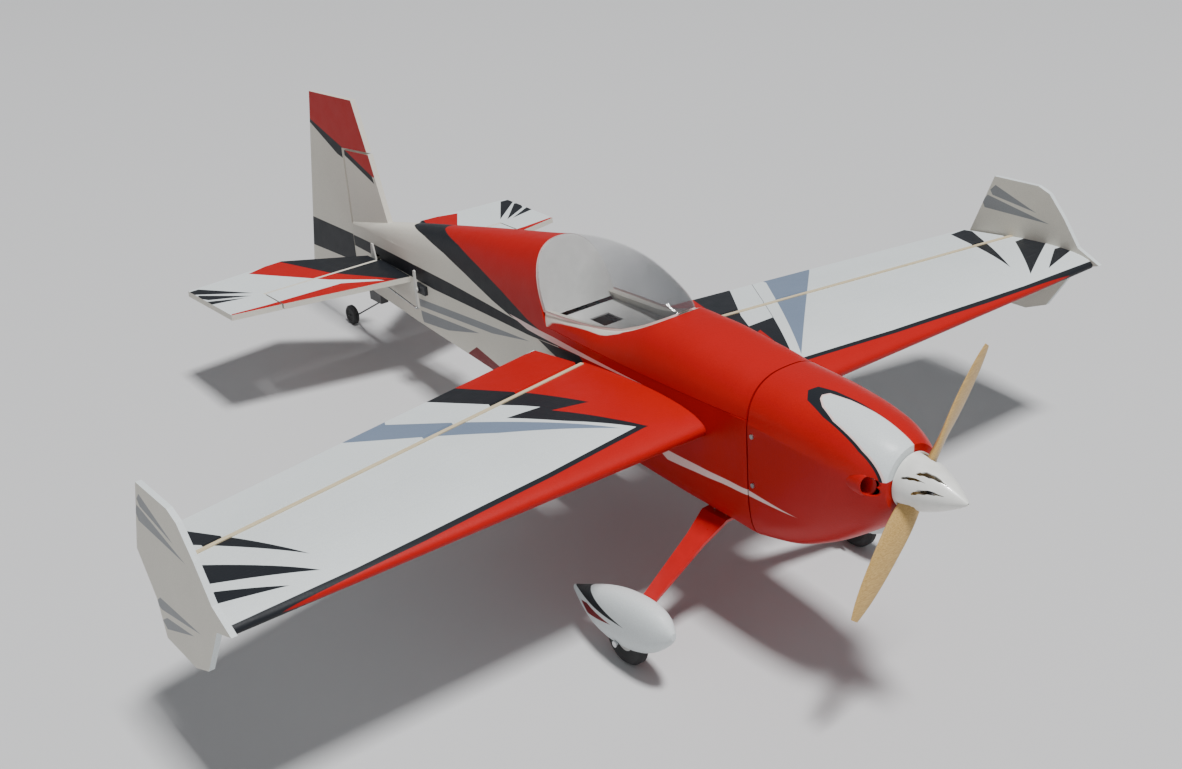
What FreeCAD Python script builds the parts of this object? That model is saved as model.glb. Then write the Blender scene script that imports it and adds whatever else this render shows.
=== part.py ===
import FreeCAD, Part
import math
import os
import Sketcher
from FreeCAD import Placement, Rotation, Vector

# Radio controlled aerobatic foam monoplane, millimetres.
#
# Everything is drawn in the level airframe frame: X spanwise (port wing at +X), Y rearwards,
# Z up, with Y = 0 at the wing's leading edge and Z = 0 in the wing plane. One shared placement,
# the stance, then sets the whole model down on its three wheels.

doc = FreeCAD.newDocument("aerobatic_monoplane")
sheet = doc.addObject("Spreadsheet::Sheet", "Dims")

DIMENSIONS = {
    # wing
    "wing_half_span": 597.0, "wing_root_station": 62.0, "wing_root_chord": 301.0,
    "wing_tip_chord": 206.0, "hinge_root": 210.0, "hinge_tip": 131.0,
    "root_thickness_ratio": 0.135, "tip_thickness_ratio": 0.125,
    "aileron_root_station": 66.0, "aileron_tip_station": 594.0, "bevel_angle": 34.0,
    "hinge_gap": 1.0, "tube_radius": 6.0, "tube_half_length": 330.0, "tube_station": 75.0,
    "strip_width": 6.0, "strip_thick": 1.2, "plate_thick": 6.0,
    # fuselage and hatch
    "side_level": 15.0, "wall": 6.0, "hatch_seam": 32.0, "seam_gap": 0.5,
    "hatch_rear": 288.0, "hatch_lean": 0.41, "nose_seam": -58.0,
    # nose
    "thrust_level": 9.0, "spinner_base": -228.0, "spinner_tip": -294.0, "spinner_radius": 32.0,
    "prop_plane": -237.0, "prop_angle": 37.6,
    "shaft_radius": 2.5, "inlet_radius": 5.85, "shaft_opening": 17.0,
    # power units: length along the body, width across it, height
    "battery_length": 108.0, "battery_width": 36.0, "battery_height": 28.0,
    "speed_controller_length": 52.0, "speed_controller_width": 28.0,
    "speed_controller_height": 10.0,
    "receiver_length": 44.0, "receiver_width": 22.0, "receiver_height": 13.0,
    # tail
    "foam_thick": 8.0, "stab_level": -17.0, "elevator_hinge": 752.5, "rudder_hinge": 841.0,
    "elevator_bevel": 2.8,
    # undercarriage
    "wheel_station": 174.0, "axle_along": 6.6, "axle_level": -207.5, "wheel_radius": 30.0,
    "wheel_width": 17.0, "hub_radius": 13.0, "axle_radius": 2.0, "leg_thick": 3.0,
    "tail_axle_along": 892.0, "tail_axle_level": -142.5, "tail_wheel_radius": 15.0,
    "tail_wheel_width": 9.0, "tail_steer_along": 800.0, "wire_radius": 1.2,
    # control linkages
    "aileron_servo_station": 250.0, "aileron_rod_run": 72.0, "aileron_arm": 20.0,
    "elevator_servo_along": 627.0, "elevator_servo_level": -20.0, "elevator_arm_length": 26.0,
    "rudder_servo_along": 600.0, "rudder_servo_side": 14.0, "rudder_arm_length": 24.0,
    "rudder_rod_level": -45.0, "pin_radius": 0.9, "pin_hole_radius": 1.0, "rod_radius": 1.1,
}
for row, (alias, number) in enumerate(DIMENSIONS.items(), start=1):
    sheet.set(f"A{row}", alias)
    sheet.set(f"B{row}", str(number))
    sheet.setAlias(f"B{row}", alias)
doc.recompute()


def size(alias):
    """One driving dimension, read from the spreadsheet."""
    return float(sheet.get(alias))


def stance():
    """The placement that sets the level airframe on its wheels, nose high.

    The ground line is tangent to the main wheels and the tail wheel. The origin is under the
    middle of the model, on the ground.
    """
    along = size("tail_axle_along") - size("axle_along")
    rise = size("tail_axle_level") - size("axle_level")
    reach = math.hypot(along, rise)
    drop = size("wheel_radius") - size("tail_wheel_radius")
    tilt = math.atan2(rise, along) + math.asin(drop / reach)
    turn = Rotation(Vector(1, 0, 0), -math.degrees(tilt))
    axle = turn.multVec(Vector(0, size("axle_along"), size("axle_level")))
    front = turn.multVec(Vector(0, size("spinner_tip"), size("thrust_level")))
    rear = turn.multVec(Vector(0, *RUDDER_OUTLINE[-1]))
    middle = (front.y + rear.y) / 2
    return Placement(Vector(0, -middle, size("wheel_radius") - axle.z), turn)


# --- outlines in the level frame -------------------------------------------------------------

# (along, level) corners
FIN_OUTLINE = [(731, 33), (768, 135.5), (839.5, 129.5), (839.5, 12)]
RUDDER_OUTLINE = [(842, -76), (842, 132), (771, 138.5), (799, 208), (923, 202), (988, -76)]
# (spanwise, along) corners of the port half
STAB_HALF = [(0, 656), (195, 699), (195, 751), (0, 751)]
ELEVATOR_HALF = [(18.5, 753.2), (197, 753.2), (197, 700), (264, 714),
                 (268, 844), (119, 855), (18.5, 781)]
TIP_PLATE_OUTLINE = [(-9, 2), (24, 18), (48, 52), (72, 80), (90, 87), (160, 86), (198, 0),
                     (170, -44), (164, -85), (98, -85), (66, -72), (24, -9)]


def keep(node, shape):
    """Add one finished sub-part whose shape is set by Part's own functions."""
    part = doc.addObject("Part::Feature", node)
    part.Label = node
    part.Shape = shape
    part.Placement = STANCE.multiply(shape.Placement)
    NODES.append(part)
    return part


def mirrored(shape):
    """The same shape on the other wing."""
    return shape.mirror(Vector(0, 0, 0), Vector(1, 0, 0))


def box(low, high):
    """An axis-aligned block between two corners."""
    span = [high[i] - low[i] for i in range(3)]
    return Part.makeBox(*span, Vector(*low))


def rod_between(start, end, radius):
    """A round bar between two points."""
    start = Vector(*start)
    end = Vector(*end)
    return Part.makeCylinder(radius, (end - start).Length, start, end - start)


def prism(corners, direction):
    """A flat polygon of 3-D corners pushed along a vector."""
    points = [Vector(*corner) for corner in corners]
    return Part.Face(Part.makePolygon(points + points[:1])).extrude(Vector(*direction))


def side_prism(outline, low_x, high_x):
    """A side-view outline of (along, level) corners, extruded spanwise."""
    return prism([(low_x, y, z) for y, z in outline], (high_x - low_x, 0, 0))


def plan_prism(outline, low_z, high_z):
    """A plan-view outline of (spanwise, along) corners, extruded upwards."""
    return prism([(x, y, low_z) for x, y in outline], (0, 0, high_z - low_z))


# --- lofted skins ----------------------------------------------------------------------------

SECTION_POINTS = 36


def smooth_ring(points):
    """A closed smooth curve through points, with evenly spaced knots so that rings loft cleanly."""
    curve = Part.BSplineCurve()
    knots = [float(index) for index in range(len(points) + 1)]
    curve.interpolate(Points=points, PeriodicFlag=True, Parameters=knots)
    return Part.Wire(curve.toShape())


def hull_section(along, half_width, top, bottom, middle, top_power, low_power):
    """A closed fuselage section: one superellipse above the middle level, a squarer one below."""
    points = []
    for step in range(SECTION_POINTS):
        angle = 2 * math.pi * step / SECTION_POINTS
        c = math.cos(angle)
        s = math.sin(angle)
        power = top_power if s >= 0 else low_power
        height = top - middle if s >= 0 else middle - bottom
        x = half_width * math.copysign(abs(c) ** (2 / power), c)
        z = middle + height * math.copysign(abs(s) ** (2 / power), s)
        points.append(Vector(x, along, z))
    return smooth_ring(points)


def loft(sections):
    """A smooth closed solid through the section wires."""
    return Part.makeLoft(sections, True, False)


def slope(stations, index, column):
    """The curve's slope at a station: none at a peak or an end, so it never overshoots."""
    if index in (0, len(stations) - 1):
        other = 1 if index == 0 else index - 1
        step = stations[other][0] - stations[index][0]
        return (stations[other][column] - stations[index][column]) / step
    before, here, after = stations[index - 1:index + 2]
    first = (here[column] - before[column]) / (here[0] - before[0])
    second = (after[column] - here[column]) / (after[0] - here[0])
    if first * second <= 0:
        return 0.0
    return 2 * first * second / (first + second)


def station_at(stations, along):
    """The station values at any place, on smooth curves, or straight on past either end."""
    last = len(stations) - 2
    index = min(max(sum(along > row[0] for row in stations) - 1, 0), last)
    span = stations[index + 1][0] - stations[index][0]
    share = (along - stations[index][0]) / span
    values = [along]
    for column in range(1, len(stations[0])):
        start = stations[index][column]
        end = stations[index + 1][column]
        start_slope = slope(stations, index, column) * span
        end_slope = slope(stations, index + 1, column) * span
        if share < 0:
            values.append(start + start_slope * share)
        elif share > 1:
            values.append(end + end_slope * (share - 1))
        else:
            rise = share * share * (3 - 2 * share)
            values.append(start + (end - start) * rise
                          + start_slope * share * (1 - share) ** 2
                          - end_slope * share * share * (1 - share))
    return values


def even_stations(stations, low, high, step):
    """Evenly spaced stations between two places, read off the smooth curves."""
    count = math.ceil((high - low) / step)
    return [station_at(stations, low + (high - low) * k / count) for k in range(count + 1)]


# Stations along the fuselage: (along, half width, top, bottom). Ahead of the hatch's rear edge the
# top is cut away at the hatch seam.
HULL_STATIONS = [(-58, 57.3, 130, -112), (0, 60, 130, -108), (60, 61, 130, -105),
                 (105, 61, 130, -102), (145, 60.5, 130, -100), (190, 59.5, 130, -98.5),
                 (240, 57.5, 130, -97), (300, 54, 126, -95.5), (360, 48, 115, -94),
                 (450, 39, 99, -92), (574, 27.5, 75.5, -89), (652, 20.5, 60.5, -86.5),
                 (727, 14.5, 45, -82.5), (790, 10, 32, -79), (838, 7, 22, -76)]
# Stations along the hatch's deck, a little wider at mid height so that it meets the hull's side.
DECK_STATIONS = [(-58, 58.0, 74, -112), (0, 60.7, 80, -108), (60, 61.6, 86, -105),
                 (105, 61.6, 86.5, -102), (145, 61.2, 78, -100), (190, 60.4, 68, -98.5),
                 (240, 58.4, 68, -97), (300, 54.8, 73, -95.5)]
# The cowl closes from the body's section to a round face behind the spinner:
# (along, half width, top, bottom, middle, power above, power below)
COWL_STATIONS = [(-226, 36, 45, -27, 9, 2.0, 2.0), (-210, 44.5, 54, -44, 10, 2.2, 2.4),
                 (-185, 51, 62, -63, 11, 2.3, 2.8), (-150, 55, 68, -85, 12, 2.4, 3.4),
                 (-105, 57, 72, -104, 14, 2.5, 4.2), (-60, 57.3, 74, -112, 15, 2.6, 5.0)]
BODY_STEP = 24.0
# Each cavity runs past the open nose; the hull's stops short of the solid tail.
DECK_CAVITY = (-70.0, 310.0)
HULL_CAVITY = (-70.0, 735.0)
DECK_POWER = 2.6
HULL_POWER = 2.7
BELLY_POWER = 5.0


def body_loft(stations, top_power, inset=0.0, ends=None):
    """The body's skin through its stations, drawn in by a wall thickness."""
    low, high = ends or (stations[0][0], stations[-1][0])
    sections = []
    for along, half_width, top, bottom in even_stations(stations, low, high, BODY_STEP):
        sections.append(hull_section(along, half_width - inset, top - inset, bottom + inset,
                                     size("side_level"), top_power, BELLY_POWER))
    return loft(sections)


def hollowed(stations, top_power, cavity_ends, wall):
    """A body shell: the outer skin less the same skin drawn in by the wall."""
    outer = body_loft(stations, top_power)
    return outer.cut(body_loft(stations, top_power, wall, cavity_ends))


def ahead_of_rear_face(offset=0.0):
    """Everything in front of the hatch's leaning rear edge and above the hatch seam."""
    low = size("hatch_seam")
    high = 160.0
    foot = size("hatch_rear") - offset
    outline = [(-80, low), (foot, low), (foot + size("hatch_lean") * (high - low), high),
               (-80, high)]
    return side_prism(outline, -90, 90)


def body_solid():
    """The fuselage's outer form without its hatch bay, used to trim what is glued to it."""
    return body_loft(HULL_STATIONS, HULL_POWER).cut(ahead_of_rear_face())


# --- stance ----------------------------------------------------------------------------------

NODES = []
STANCE = stance()


def plate_body(node, outline, plane, thickness, centre, pockets=()):
    """A flat foam or ply plate as a body: one closed sketch padded both ways from its plane."""
    body = doc.addObject("PartDesign::Body", node)
    body.Label = node
    base = next(item for item in body.Origin.OriginFeatures if item.Role == plane)
    sketch = body.newObject("Sketcher::SketchObject", node + "_outline")
    sketch.AttachmentSupport = [(base, "")]
    sketch.MapMode = "FlatFace"
    draw_outline(sketch, outline)
    pad = body.newObject("PartDesign::Pad", node + "_pad")
    pad.Profile = sketch
    pad.Midplane = True
    pad.setExpression("Length", thickness)
    doc.recompute()
    for number, (pocket_plane, triangle, length) in enumerate(pockets):
        plane_object = next(i for i in body.Origin.OriginFeatures if i.Role == pocket_plane)
        cut_sketch = body.newObject("Sketcher::SketchObject", f"{node}_bevel_{number}")
        cut_sketch.AttachmentSupport = [(plane_object, "")]
        cut_sketch.MapMode = "FlatFace"
        draw_outline(cut_sketch, triangle)
        pocket = body.newObject("PartDesign::Pocket", f"{node}_bevel_cut_{number}")
        pocket.Profile = cut_sketch
        pocket.Midplane = True
        pocket.Length = length
        doc.recompute()
    body.Placement = STANCE.multiply(Placement(Vector(*centre), Rotation()))
    NODES.append(body)
    return body


def draw_outline(sketch, outline):
    """Draw a closed polygon and tie its corners together."""
    count = len(outline)
    for index in range(count):
        start = Vector(*outline[index], 0)
        end = Vector(*outline[(index + 1) % count], 0)
        sketch.addGeometry(Part.LineSegment(start, end), False)
    for index in range(count):
        sketch.addConstraint(Sketcher.Constraint("Coincident", index, 2, (index + 1) % count, 1))
    for index, (across, up) in enumerate(outline):
        sketch.addConstraint(Sketcher.Constraint("DistanceX", -1, 1, index, 1, across))
        sketch.addConstraint(Sketcher.Constraint("DistanceY", -1, 1, index, 1, up))


def turned_body(node, profile, centre, along_span=False):
    """A turned piece: a (radius, along) profile revolved about the along axis, or about the span."""
    body = doc.addObject("PartDesign::Body", node)
    body.Label = node
    base = next(item for item in body.Origin.OriginFeatures if item.Role == "XY_Plane")
    sketch = body.newObject("Sketcher::SketchObject", node + "_profile")
    sketch.AttachmentSupport = [(base, "")]
    sketch.MapMode = "FlatFace"
    draw_outline(sketch, profile)
    turn = body.newObject("PartDesign::Revolution", node + "_turn")
    turn.Profile = sketch
    turn.ReferenceAxis = (sketch, ["V_Axis"])
    turn.Angle = 360
    doc.recompute()
    aim = Rotation(Vector(0, 1, 0), Vector(1, 0, 0)) if along_span else Rotation()
    body.Placement = STANCE.multiply(Placement(Vector(*centre), aim))
    NODES.append(body)
    return body


def block(node, low):
    """A rectangular unit, such as a battery: a box driven by its own three dimensions."""
    unit = doc.addObject("Part::Box", node)
    unit.Label = node
    unit.setExpression("Length", f"Dims.{node}_width")
    unit.setExpression("Width", f"Dims.{node}_length")
    unit.setExpression("Height", f"Dims.{node}_height")
    unit.Placement = STANCE.multiply(Placement(Vector(*low), Rotation()))
    NODES.append(unit)
    return unit


# --- wing ------------------------------------------------------------------------------------


def between(root_value, tip_value, station):
    """A wing value at a spanwise station, straight-line tapered from root to tip."""
    root = size("wing_root_station")
    share = (station - root) / (size("wing_half_span") - root)
    return root_value + (tip_value - root_value) * share


def chord_at(station):
    return between(size("wing_root_chord"), size("wing_tip_chord"), station)


def hinge_at(station):
    return between(size("hinge_root"), size("hinge_tip"), station)


def half_thickness(station, along):
    """Half the depth of the symmetrical aerofoil at a place on the wing."""
    chord = chord_at(station)
    ratio = between(size("root_thickness_ratio"), size("tip_thickness_ratio"), station)
    share = min(max(along / chord, 0.0), 1.0)
    curve = (0.2969 * math.sqrt(share) - 0.1260 * share - 0.3516 * share ** 2
             + 0.2843 * share ** 3 - 0.1036 * share ** 4)
    return 5 * ratio * chord * curve


AEROFOIL_STEPS = 14
GLUE_LINE = 0.08


def panel_section(station):
    """The fixed wing's section: round the leading edge, cut off square at the hinge line."""
    hinge = hinge_at(station)
    upper = []
    for step in range(AEROFOIL_STEPS, 0, -1):
        along = hinge * (step / AEROFOIL_STEPS) ** 2
        upper.append(Vector(station, along, half_thickness(station, along)))
    lower = [Vector(p.x, p.y, -p.z) for p in reversed(upper)]
    curve = Part.BSplineCurve()
    points = upper + [Vector(station, 0, 0)] + lower
    curve.interpolate(Points=points, Parameters=[float(k) for k in range(len(points))])
    back = Part.makeLine(points[-1], points[0])
    return Part.Wire([curve.toShape(), back])


TRAILING_HALF = 1.5


def aileron_section(station):
    """The aileron's section: a V front for free travel, tapering to the trailing edge."""
    nose = hinge_at(station) + size("hinge_gap")
    depth = half_thickness(station, nose)
    shoulder = nose + depth * math.tan(math.radians(size("bevel_angle")))
    chord = chord_at(station)
    corners = [(nose, 0), (shoulder, depth * 0.93), (chord, TRAILING_HALF),
               (chord, -TRAILING_HALF), (shoulder, -depth * 0.93)]
    points = [Vector(station, y, z) for y, z in corners]
    return Part.makePolygon(points + points[:1])


def strip_section(station):
    """The thin hinge batten lying on the wing's top skin, ending at the hinge line."""
    rear = hinge_at(station)
    front = rear - size("strip_width")
    low_front = half_thickness(station, front)
    low_rear = half_thickness(station, rear)
    thick = size("strip_thick")
    corners = [(front, low_front), (rear, low_rear), (rear, low_rear + thick),
               (front, low_front + thick)]
    points = [Vector(station, y, z) for y, z in corners]
    return Part.makePolygon(points + points[:1])


def spanwise_loft(section, inner_station, outer_station):
    """A straight-sided solid between one section at two stations."""
    return Part.makeLoft([section(inner_station), section(outer_station)], True, True)


def hinge_frame(station):
    """A local frame on the port aileron hinge: X along the hinge, Y rearwards, Z up."""
    sweep = math.atan2(size("hinge_tip") - size("hinge_root"),
                       size("wing_half_span") - size("wing_root_station"))
    origin = Vector(station, hinge_at(station) + size("hinge_gap"), 0)
    return Placement(origin, Rotation(Vector(0, 0, 1), math.degrees(sweep)))


def placed(shape, placement):
    """A copy of a shape moved by a placement."""
    moved = shape.copy()
    moved.Placement = placement.multiply(moved.Placement)
    return moved


# --- control linkages ------------------------------------------------------------------------
# Each linkage is a parallelogram: the servo arm and the horn are equally long and parallel, so
# the pushrod only shifts. Local frames have X along the hinge, Y rearwards and Z up.

SERVO_LENGTH = 23.0
SERVO_WIDTH = 12.0
SERVO_HEIGHT = 23.0
SERVO_LUG = 4.5
SERVO_LUG_DEPTH = 5.0
SERVO_LUG_THICK = 2.0
SERVO_BOSS_RADIUS = 4.0
SERVO_BOSS_HEIGHT = 2.0
OUTPUT_INSET = 5.5


def servo_shape(pivot, face, side):
    """A micro servo beside its output pivot: case, two lugs and the output boss.

    The output axis is X. The case lies on one side of the face, and forward of the pivot.
    """
    x, y, z = pivot
    back = face - side * SERVO_HEIGHT
    low, high = sorted((face, back))
    rear = y + OUTPUT_INSET
    case = box((low, rear - SERVO_LENGTH, z - SERVO_WIDTH / 2), (high, rear, z + SERVO_WIDTH / 2))
    lug_face = face - side * SERVO_LUG_DEPTH
    lug_low, lug_high = sorted((lug_face, lug_face - side * SERVO_LUG_THICK))
    lugs = box((lug_low, rear - SERVO_LENGTH - SERVO_LUG, z - SERVO_WIDTH / 2),
               (lug_high, rear + SERVO_LUG, z + SERVO_WIDTH / 2))
    boss = Part.makeCylinder(SERVO_BOSS_RADIUS, SERVO_BOSS_HEIGHT, Vector(face, y, z),
                             Vector(side, 0, 0))
    return case.fuse(lugs).fuse(boss).removeSplitter()


def bar_plate(start, end, root_radius, end_radius, face, thickness):
    """A flat tapered arm in the Y-Z plane between two (along, level) centres."""
    first = Vector(0, *start)
    second = Vector(0, *end)
    direction = (second - first).normalize()
    across = Vector(0, -direction.z, direction.y)
    corners = [first + across * root_radius, second + across * end_radius,
               second - across * end_radius, first - across * root_radius]
    outline = Part.Face(Part.makePolygon(corners + corners[:1])).extrude(Vector(thickness, 0, 0))
    for centre, radius in ((first, root_radius), (second, end_radius)):
        outline = outline.fuse(Part.makeCylinder(radius, thickness, centre, Vector(1, 0, 0)))
    return outline.removeSplitter().translated(Vector(face, 0, 0))


def cross_hole(shape, centre, radius):
    """Drill a spanwise hole at an (along, level) centre."""
    drill = Part.makeCylinder(radius, 400, Vector(-200, *centre), Vector(1, 0, 0))
    return shape.cut(drill)


def pushrod(start, end, start_pin, end_pin):
    """A thin rod with a round knuckle and a spanwise pin at each end.

    Each pin runs from the rod's end to a given spanwise station.
    """
    rod = rod_between(start, end, size("rod_radius"))
    for (x, y, z), reach in ((start, start_pin), (end, end_pin)):
        rod = rod.fuse(Part.makeSphere(size("rod_radius") + 0.6, Vector(x, y, z)))
        rod = rod.fuse(rod_between((x, y, z), (reach, y, z), size("pin_radius")))
    return rod


# --- fuselage, hatch and nose ----------------------------------------------------------------

ELEVATOR_ARM_FACE = 31.0
HORN_FACE = 18.4
HORN_THICK = 2.0
ARM_THICK = 2.0
JOINER_OFFSET = 9.5
JOINER_RADIUS = 2.0
COWL_STEP = 12.0
COWL_WALL = 1.8
COWL_CLEARANCE = 0.6
FORMER_CLEARANCE = 1.8
# The cowl screws' place along and their two levels, and the head's own size.
COWL_SCREW_ALONG = -67.0
COWL_SCREW_LEVELS = (17.0, -39.0)
COWL_SCREW_STATION = 57.2
COWL_SCREW_LENGTH = 6.0
COWL_SCREW_RADIUS = 1.2
COWL_SCREW_HEAD_RADIUS = 2.6
COWL_SCREW_HEAD_DEPTH = 1.6
# Each cooling inlet is two bores, one above the other, run together.
INLET_STATION = 44.0
INLET_LEVELS = (8.0, 16.0)
INLET_ENDS = (-240.0, -192.0)
SPINNER_SLOTS = 6
SPINNER_WALL = 1.4
SPINNER_TIP_RADIUS = 1.2


def elevator_servo_pivot():
    return (-ELEVATOR_ARM_FACE, size("elevator_servo_along"), size("elevator_servo_level"))


def rudder_servo():
    """The rudder servo stands upright inside the port wall, its output pointing down."""
    level = size("rudder_rod_level") + 2.0
    flat = servo_shape((0, 0, 0), 0.0, -1)
    upright = placed(flat, Placement(Vector(), Rotation(Vector(0, 1, 0), -90)))
    return upright.translated(Vector(size("rudder_servo_side"), size("rudder_servo_along"), level))


def elevator_servo():
    x, y, z = elevator_servo_pivot()
    return servo_shape((x, y, z), x + 2.0, -1)


def stabiliser_outline():
    """Both halves of the fixed tailplane in one outline."""
    port = STAB_HALF[1:3]
    starboard = [(-x, y) for x, y in reversed(port)]
    return [STAB_HALF[0]] + port + starboard


def make_fuselage():
    wall = size("wall")
    shell = hollowed(HULL_STATIONS, HULL_POWER, HULL_CAVITY, wall).cut(ahead_of_rear_face())
    stab = size("stab_level")
    half = size("foam_thick") / 2
    shell = shell.cut(plan_prism(stabiliser_outline(), stab - half, stab + half))
    shell = shell.cut(side_prism(FIN_OUTLINE, -half, half))
    joiner = size("elevator_hinge") + JOINER_OFFSET
    shell = shell.cut(box((-40, joiner - 6, stab - 9), (40, joiner + 6, stab + 9)))
    shell = shell.cut(rod_between((-90, size("tube_station"), 0), (90, size("tube_station"), 0),
                                  size("tube_radius")))
    shell = shell.cut(elevator_servo())
    rudder = size("rudder_servo_along")
    level = size("rudder_rod_level")
    shell = shell.cut(box((14, rudder - 17, level - 5), (45, rudder + 17, level + 4)))
    shell = shell.cut(rudder_servo())
    keep("fuselage", shell.cut(leg_screws()))


def make_nose_former():
    """The ply cup glued in the fuselage's nose, which the cowl slides over."""
    front = size("nose_seam") - 14.0
    back = size("nose_seam") + 6.0

    def front_ring(along, inset):
        _, half_width, top, bottom, middle, above, below = station_at(COWL_STATIONS, along)
        return hull_section(along, half_width - inset, top - inset, bottom + inset,
                            middle, above, below)

    def back_ring(along, inset):
        _, half_width, top, bottom = station_at(HULL_STATIONS, back)
        return hull_section(along, half_width - inset, top - inset, bottom + inset,
                            size("side_level"), HULL_POWER, BELLY_POWER)

    cup = loft([front_ring(front, COWL_WALL + COWL_CLEARANCE), back_ring(back, size("wall") + FORMER_CLEARANCE)])
    cup = cup.cut(loft([front_ring(front + 4.0, 9.0), back_ring(back + 1.0, 11.0)]))
    cup = cup.common(box((-90, -90, -130), (90, 0, size("hatch_seam") - 1.0)))
    keep("nose_former", cup.cut(cowl_screws()))


def cowl_loft(inset, rear, front):
    """The cowl's skin, drawn in by its wall, between a rear and a front end."""
    sections = []
    for along, half_width, top, bottom, middle, above, below in even_stations(
            COWL_STATIONS, front, rear, COWL_STEP):
        sections.append(hull_section(along, half_width - inset, top - inset,
                                     bottom + inset, middle, above, below))
    return loft(sections)


def make_cowl():
    rear = COWL_STATIONS[-1][0]
    front = COWL_STATIONS[0][0]
    shell = cowl_loft(0.0, rear, front).cut(cowl_loft(COWL_WALL, rear + 6.0, front + COWL_WALL))
    thrust = size("thrust_level")
    opening = rod_between((0, INLET_ENDS[0], thrust), (0, INLET_ENDS[1], thrust),
                          size("shaft_opening"))
    shell = shell.cut(opening)
    for side in (-1, 1):
        for level in INLET_LEVELS:
            x = side * INLET_STATION
            bore = rod_between((x, INLET_ENDS[0], level), (x, INLET_ENDS[1], level),
                               size("inlet_radius"))
            shell = shell.cut(bore)
    keep("cowl", shell.cut(cowl_screws()))


def cowl_screws():
    """Four small round-head screws through the cowl into the nose former."""
    screws = []
    for side in (-1, 1):
        for level in COWL_SCREW_LEVELS:
            x = side * COWL_SCREW_STATION
            seat = (x, COWL_SCREW_ALONG, level)
            shank = rod_between((x - side * COWL_SCREW_LENGTH, COWL_SCREW_ALONG, level), seat,
                                COWL_SCREW_RADIUS)
            head = Part.makeCylinder(COWL_SCREW_HEAD_RADIUS, COWL_SCREW_HEAD_DEPTH,
                                     Vector(*seat), Vector(side, 0, 0))
            screws.append(shank.fuse(head))
    return Part.makeCompound(screws)


def spinner_shell(radius, base, tip):
    """A hollow spinner nose: convex arcs outside and in, turned about the thrust line."""
    point = SPINNER_TIP_RADIUS
    inner_tip = tip + 3 * SPINNER_WALL
    outside = Part.Arc(Vector(radius, base, 0), Vector(radius * 0.66, base + (tip - base) * 0.53, 0),
                       Vector(point, tip, 0))
    radius -= SPINNER_WALL
    inside = Part.Arc(Vector(radius, base, 0),
                      Vector(radius * 0.66, base + (inner_tip - base) * 0.53, 0),
                      Vector(point, inner_tip, 0))
    solid_tip = Part.makePolygon([Vector(point, tip, 0), Vector(0, tip, 0), Vector(0, inner_tip, 0),
                                  Vector(point, inner_tip, 0)])
    rim = Part.makeLine(Vector(radius, base, 0), Vector(radius + SPINNER_WALL, base, 0))
    profile = Part.Wire([outside.toShape(), *solid_tip.Edges, inside.toShape(), rim])
    return Part.Face(profile).revolve(Vector(), Vector(0, 1, 0), 360)


def make_spinner():
    thrust = size("thrust_level")
    base = size("spinner_base") - 2.5
    tip = size("spinner_tip")
    radius = size("spinner_radius")
    cone = spinner_shell(radius, base, tip)
    notch = Part.makeBox(28, 20, 2 * radius + 10, Vector(-14, base - 19, -radius - 5))
    cone = cone.cut(placed(notch, Placement(Vector(), Rotation(Vector(0, 1, 0), size("prop_angle")))))
    for index in range(SPINNER_SLOTS):
        slot = prism([(radius - 14, base - 10, -2.0), (radius - 14, base - 10, 1.4),
                      (radius - 14, base - 27, 5.6), (radius - 14, base - 27, 3.6)], (20, 0, 0))
        spin = Rotation(Vector(0, 1, 0), size("prop_angle") + 360 / SPINNER_SLOTS * index)
        cone = cone.cut(placed(slot, Placement(Vector(), spin)))
    keep("spinner_cone", cone.translated(Vector(0, 0, thrust)))
    turned_body("spinner_backplate", [(4.1, base), (radius, base), (radius, base + 2), (4.1, base + 2)],
                (0, 0, thrust))


BLADE_STATIONS = [(7, 21, 11.0, 14), (24, 23, 9.5, 30), (42, 26, 7.5, 29.6), (68, 28, 5.6, 19.3),
                  (98, 26, 4.2, 13.7), (126, 19, 3.0, 10.7), (145, 9, 1.8, 9.3)]
BLADE_POINTS = 16


def blade():
    """One twisted blade along +Z: (radius, chord, thickness, angle) at each station."""
    rings = []
    for radius, chord, thick, angle in BLADE_STATIONS:
        turn = math.radians(angle)
        points = []
        for step in range(BLADE_POINTS):
            phase = 2 * math.pi * step / BLADE_POINTS
            along_chord = chord / 2 * math.cos(phase)
            off_chord = thick / 2 * math.sin(phase)
            across = -along_chord * math.cos(turn) + off_chord * math.sin(turn)
            forward = -along_chord * math.sin(turn) - off_chord * math.cos(turn)
            points.append(Vector(across, forward, radius))
        rings.append(smooth_ring(points))
    return loft(rings)


def make_propeller():
    """A two-blade wooden propeller on its hub, parked at the angle it came to rest at."""
    plane = size("prop_plane")
    hub = Part.makeCylinder(13, 12, Vector(0, -6, 0), Vector(0, 1, 0))
    one = blade()
    other = placed(one, Placement(Vector(), Rotation(Vector(0, 1, 0), 180)))
    whole = hub.fuse(one).fuse(other)
    whole = whole.cut(Part.makeCylinder(4, 40, Vector(0, -20, 0), Vector(0, 1, 0)))
    behind = size("spinner_base") - 2.6 - plane
    whole = whole.cut(Part.makeCylinder(size("spinner_radius") + 1, 20, Vector(0, behind, 0),
                                        Vector(0, 1, 0)))
    turn = Placement(Vector(0, plane, size("thrust_level")),
                     Rotation(Vector(0, 1, 0), size("prop_angle")))
    keep("propeller", placed(whole, turn))


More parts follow.
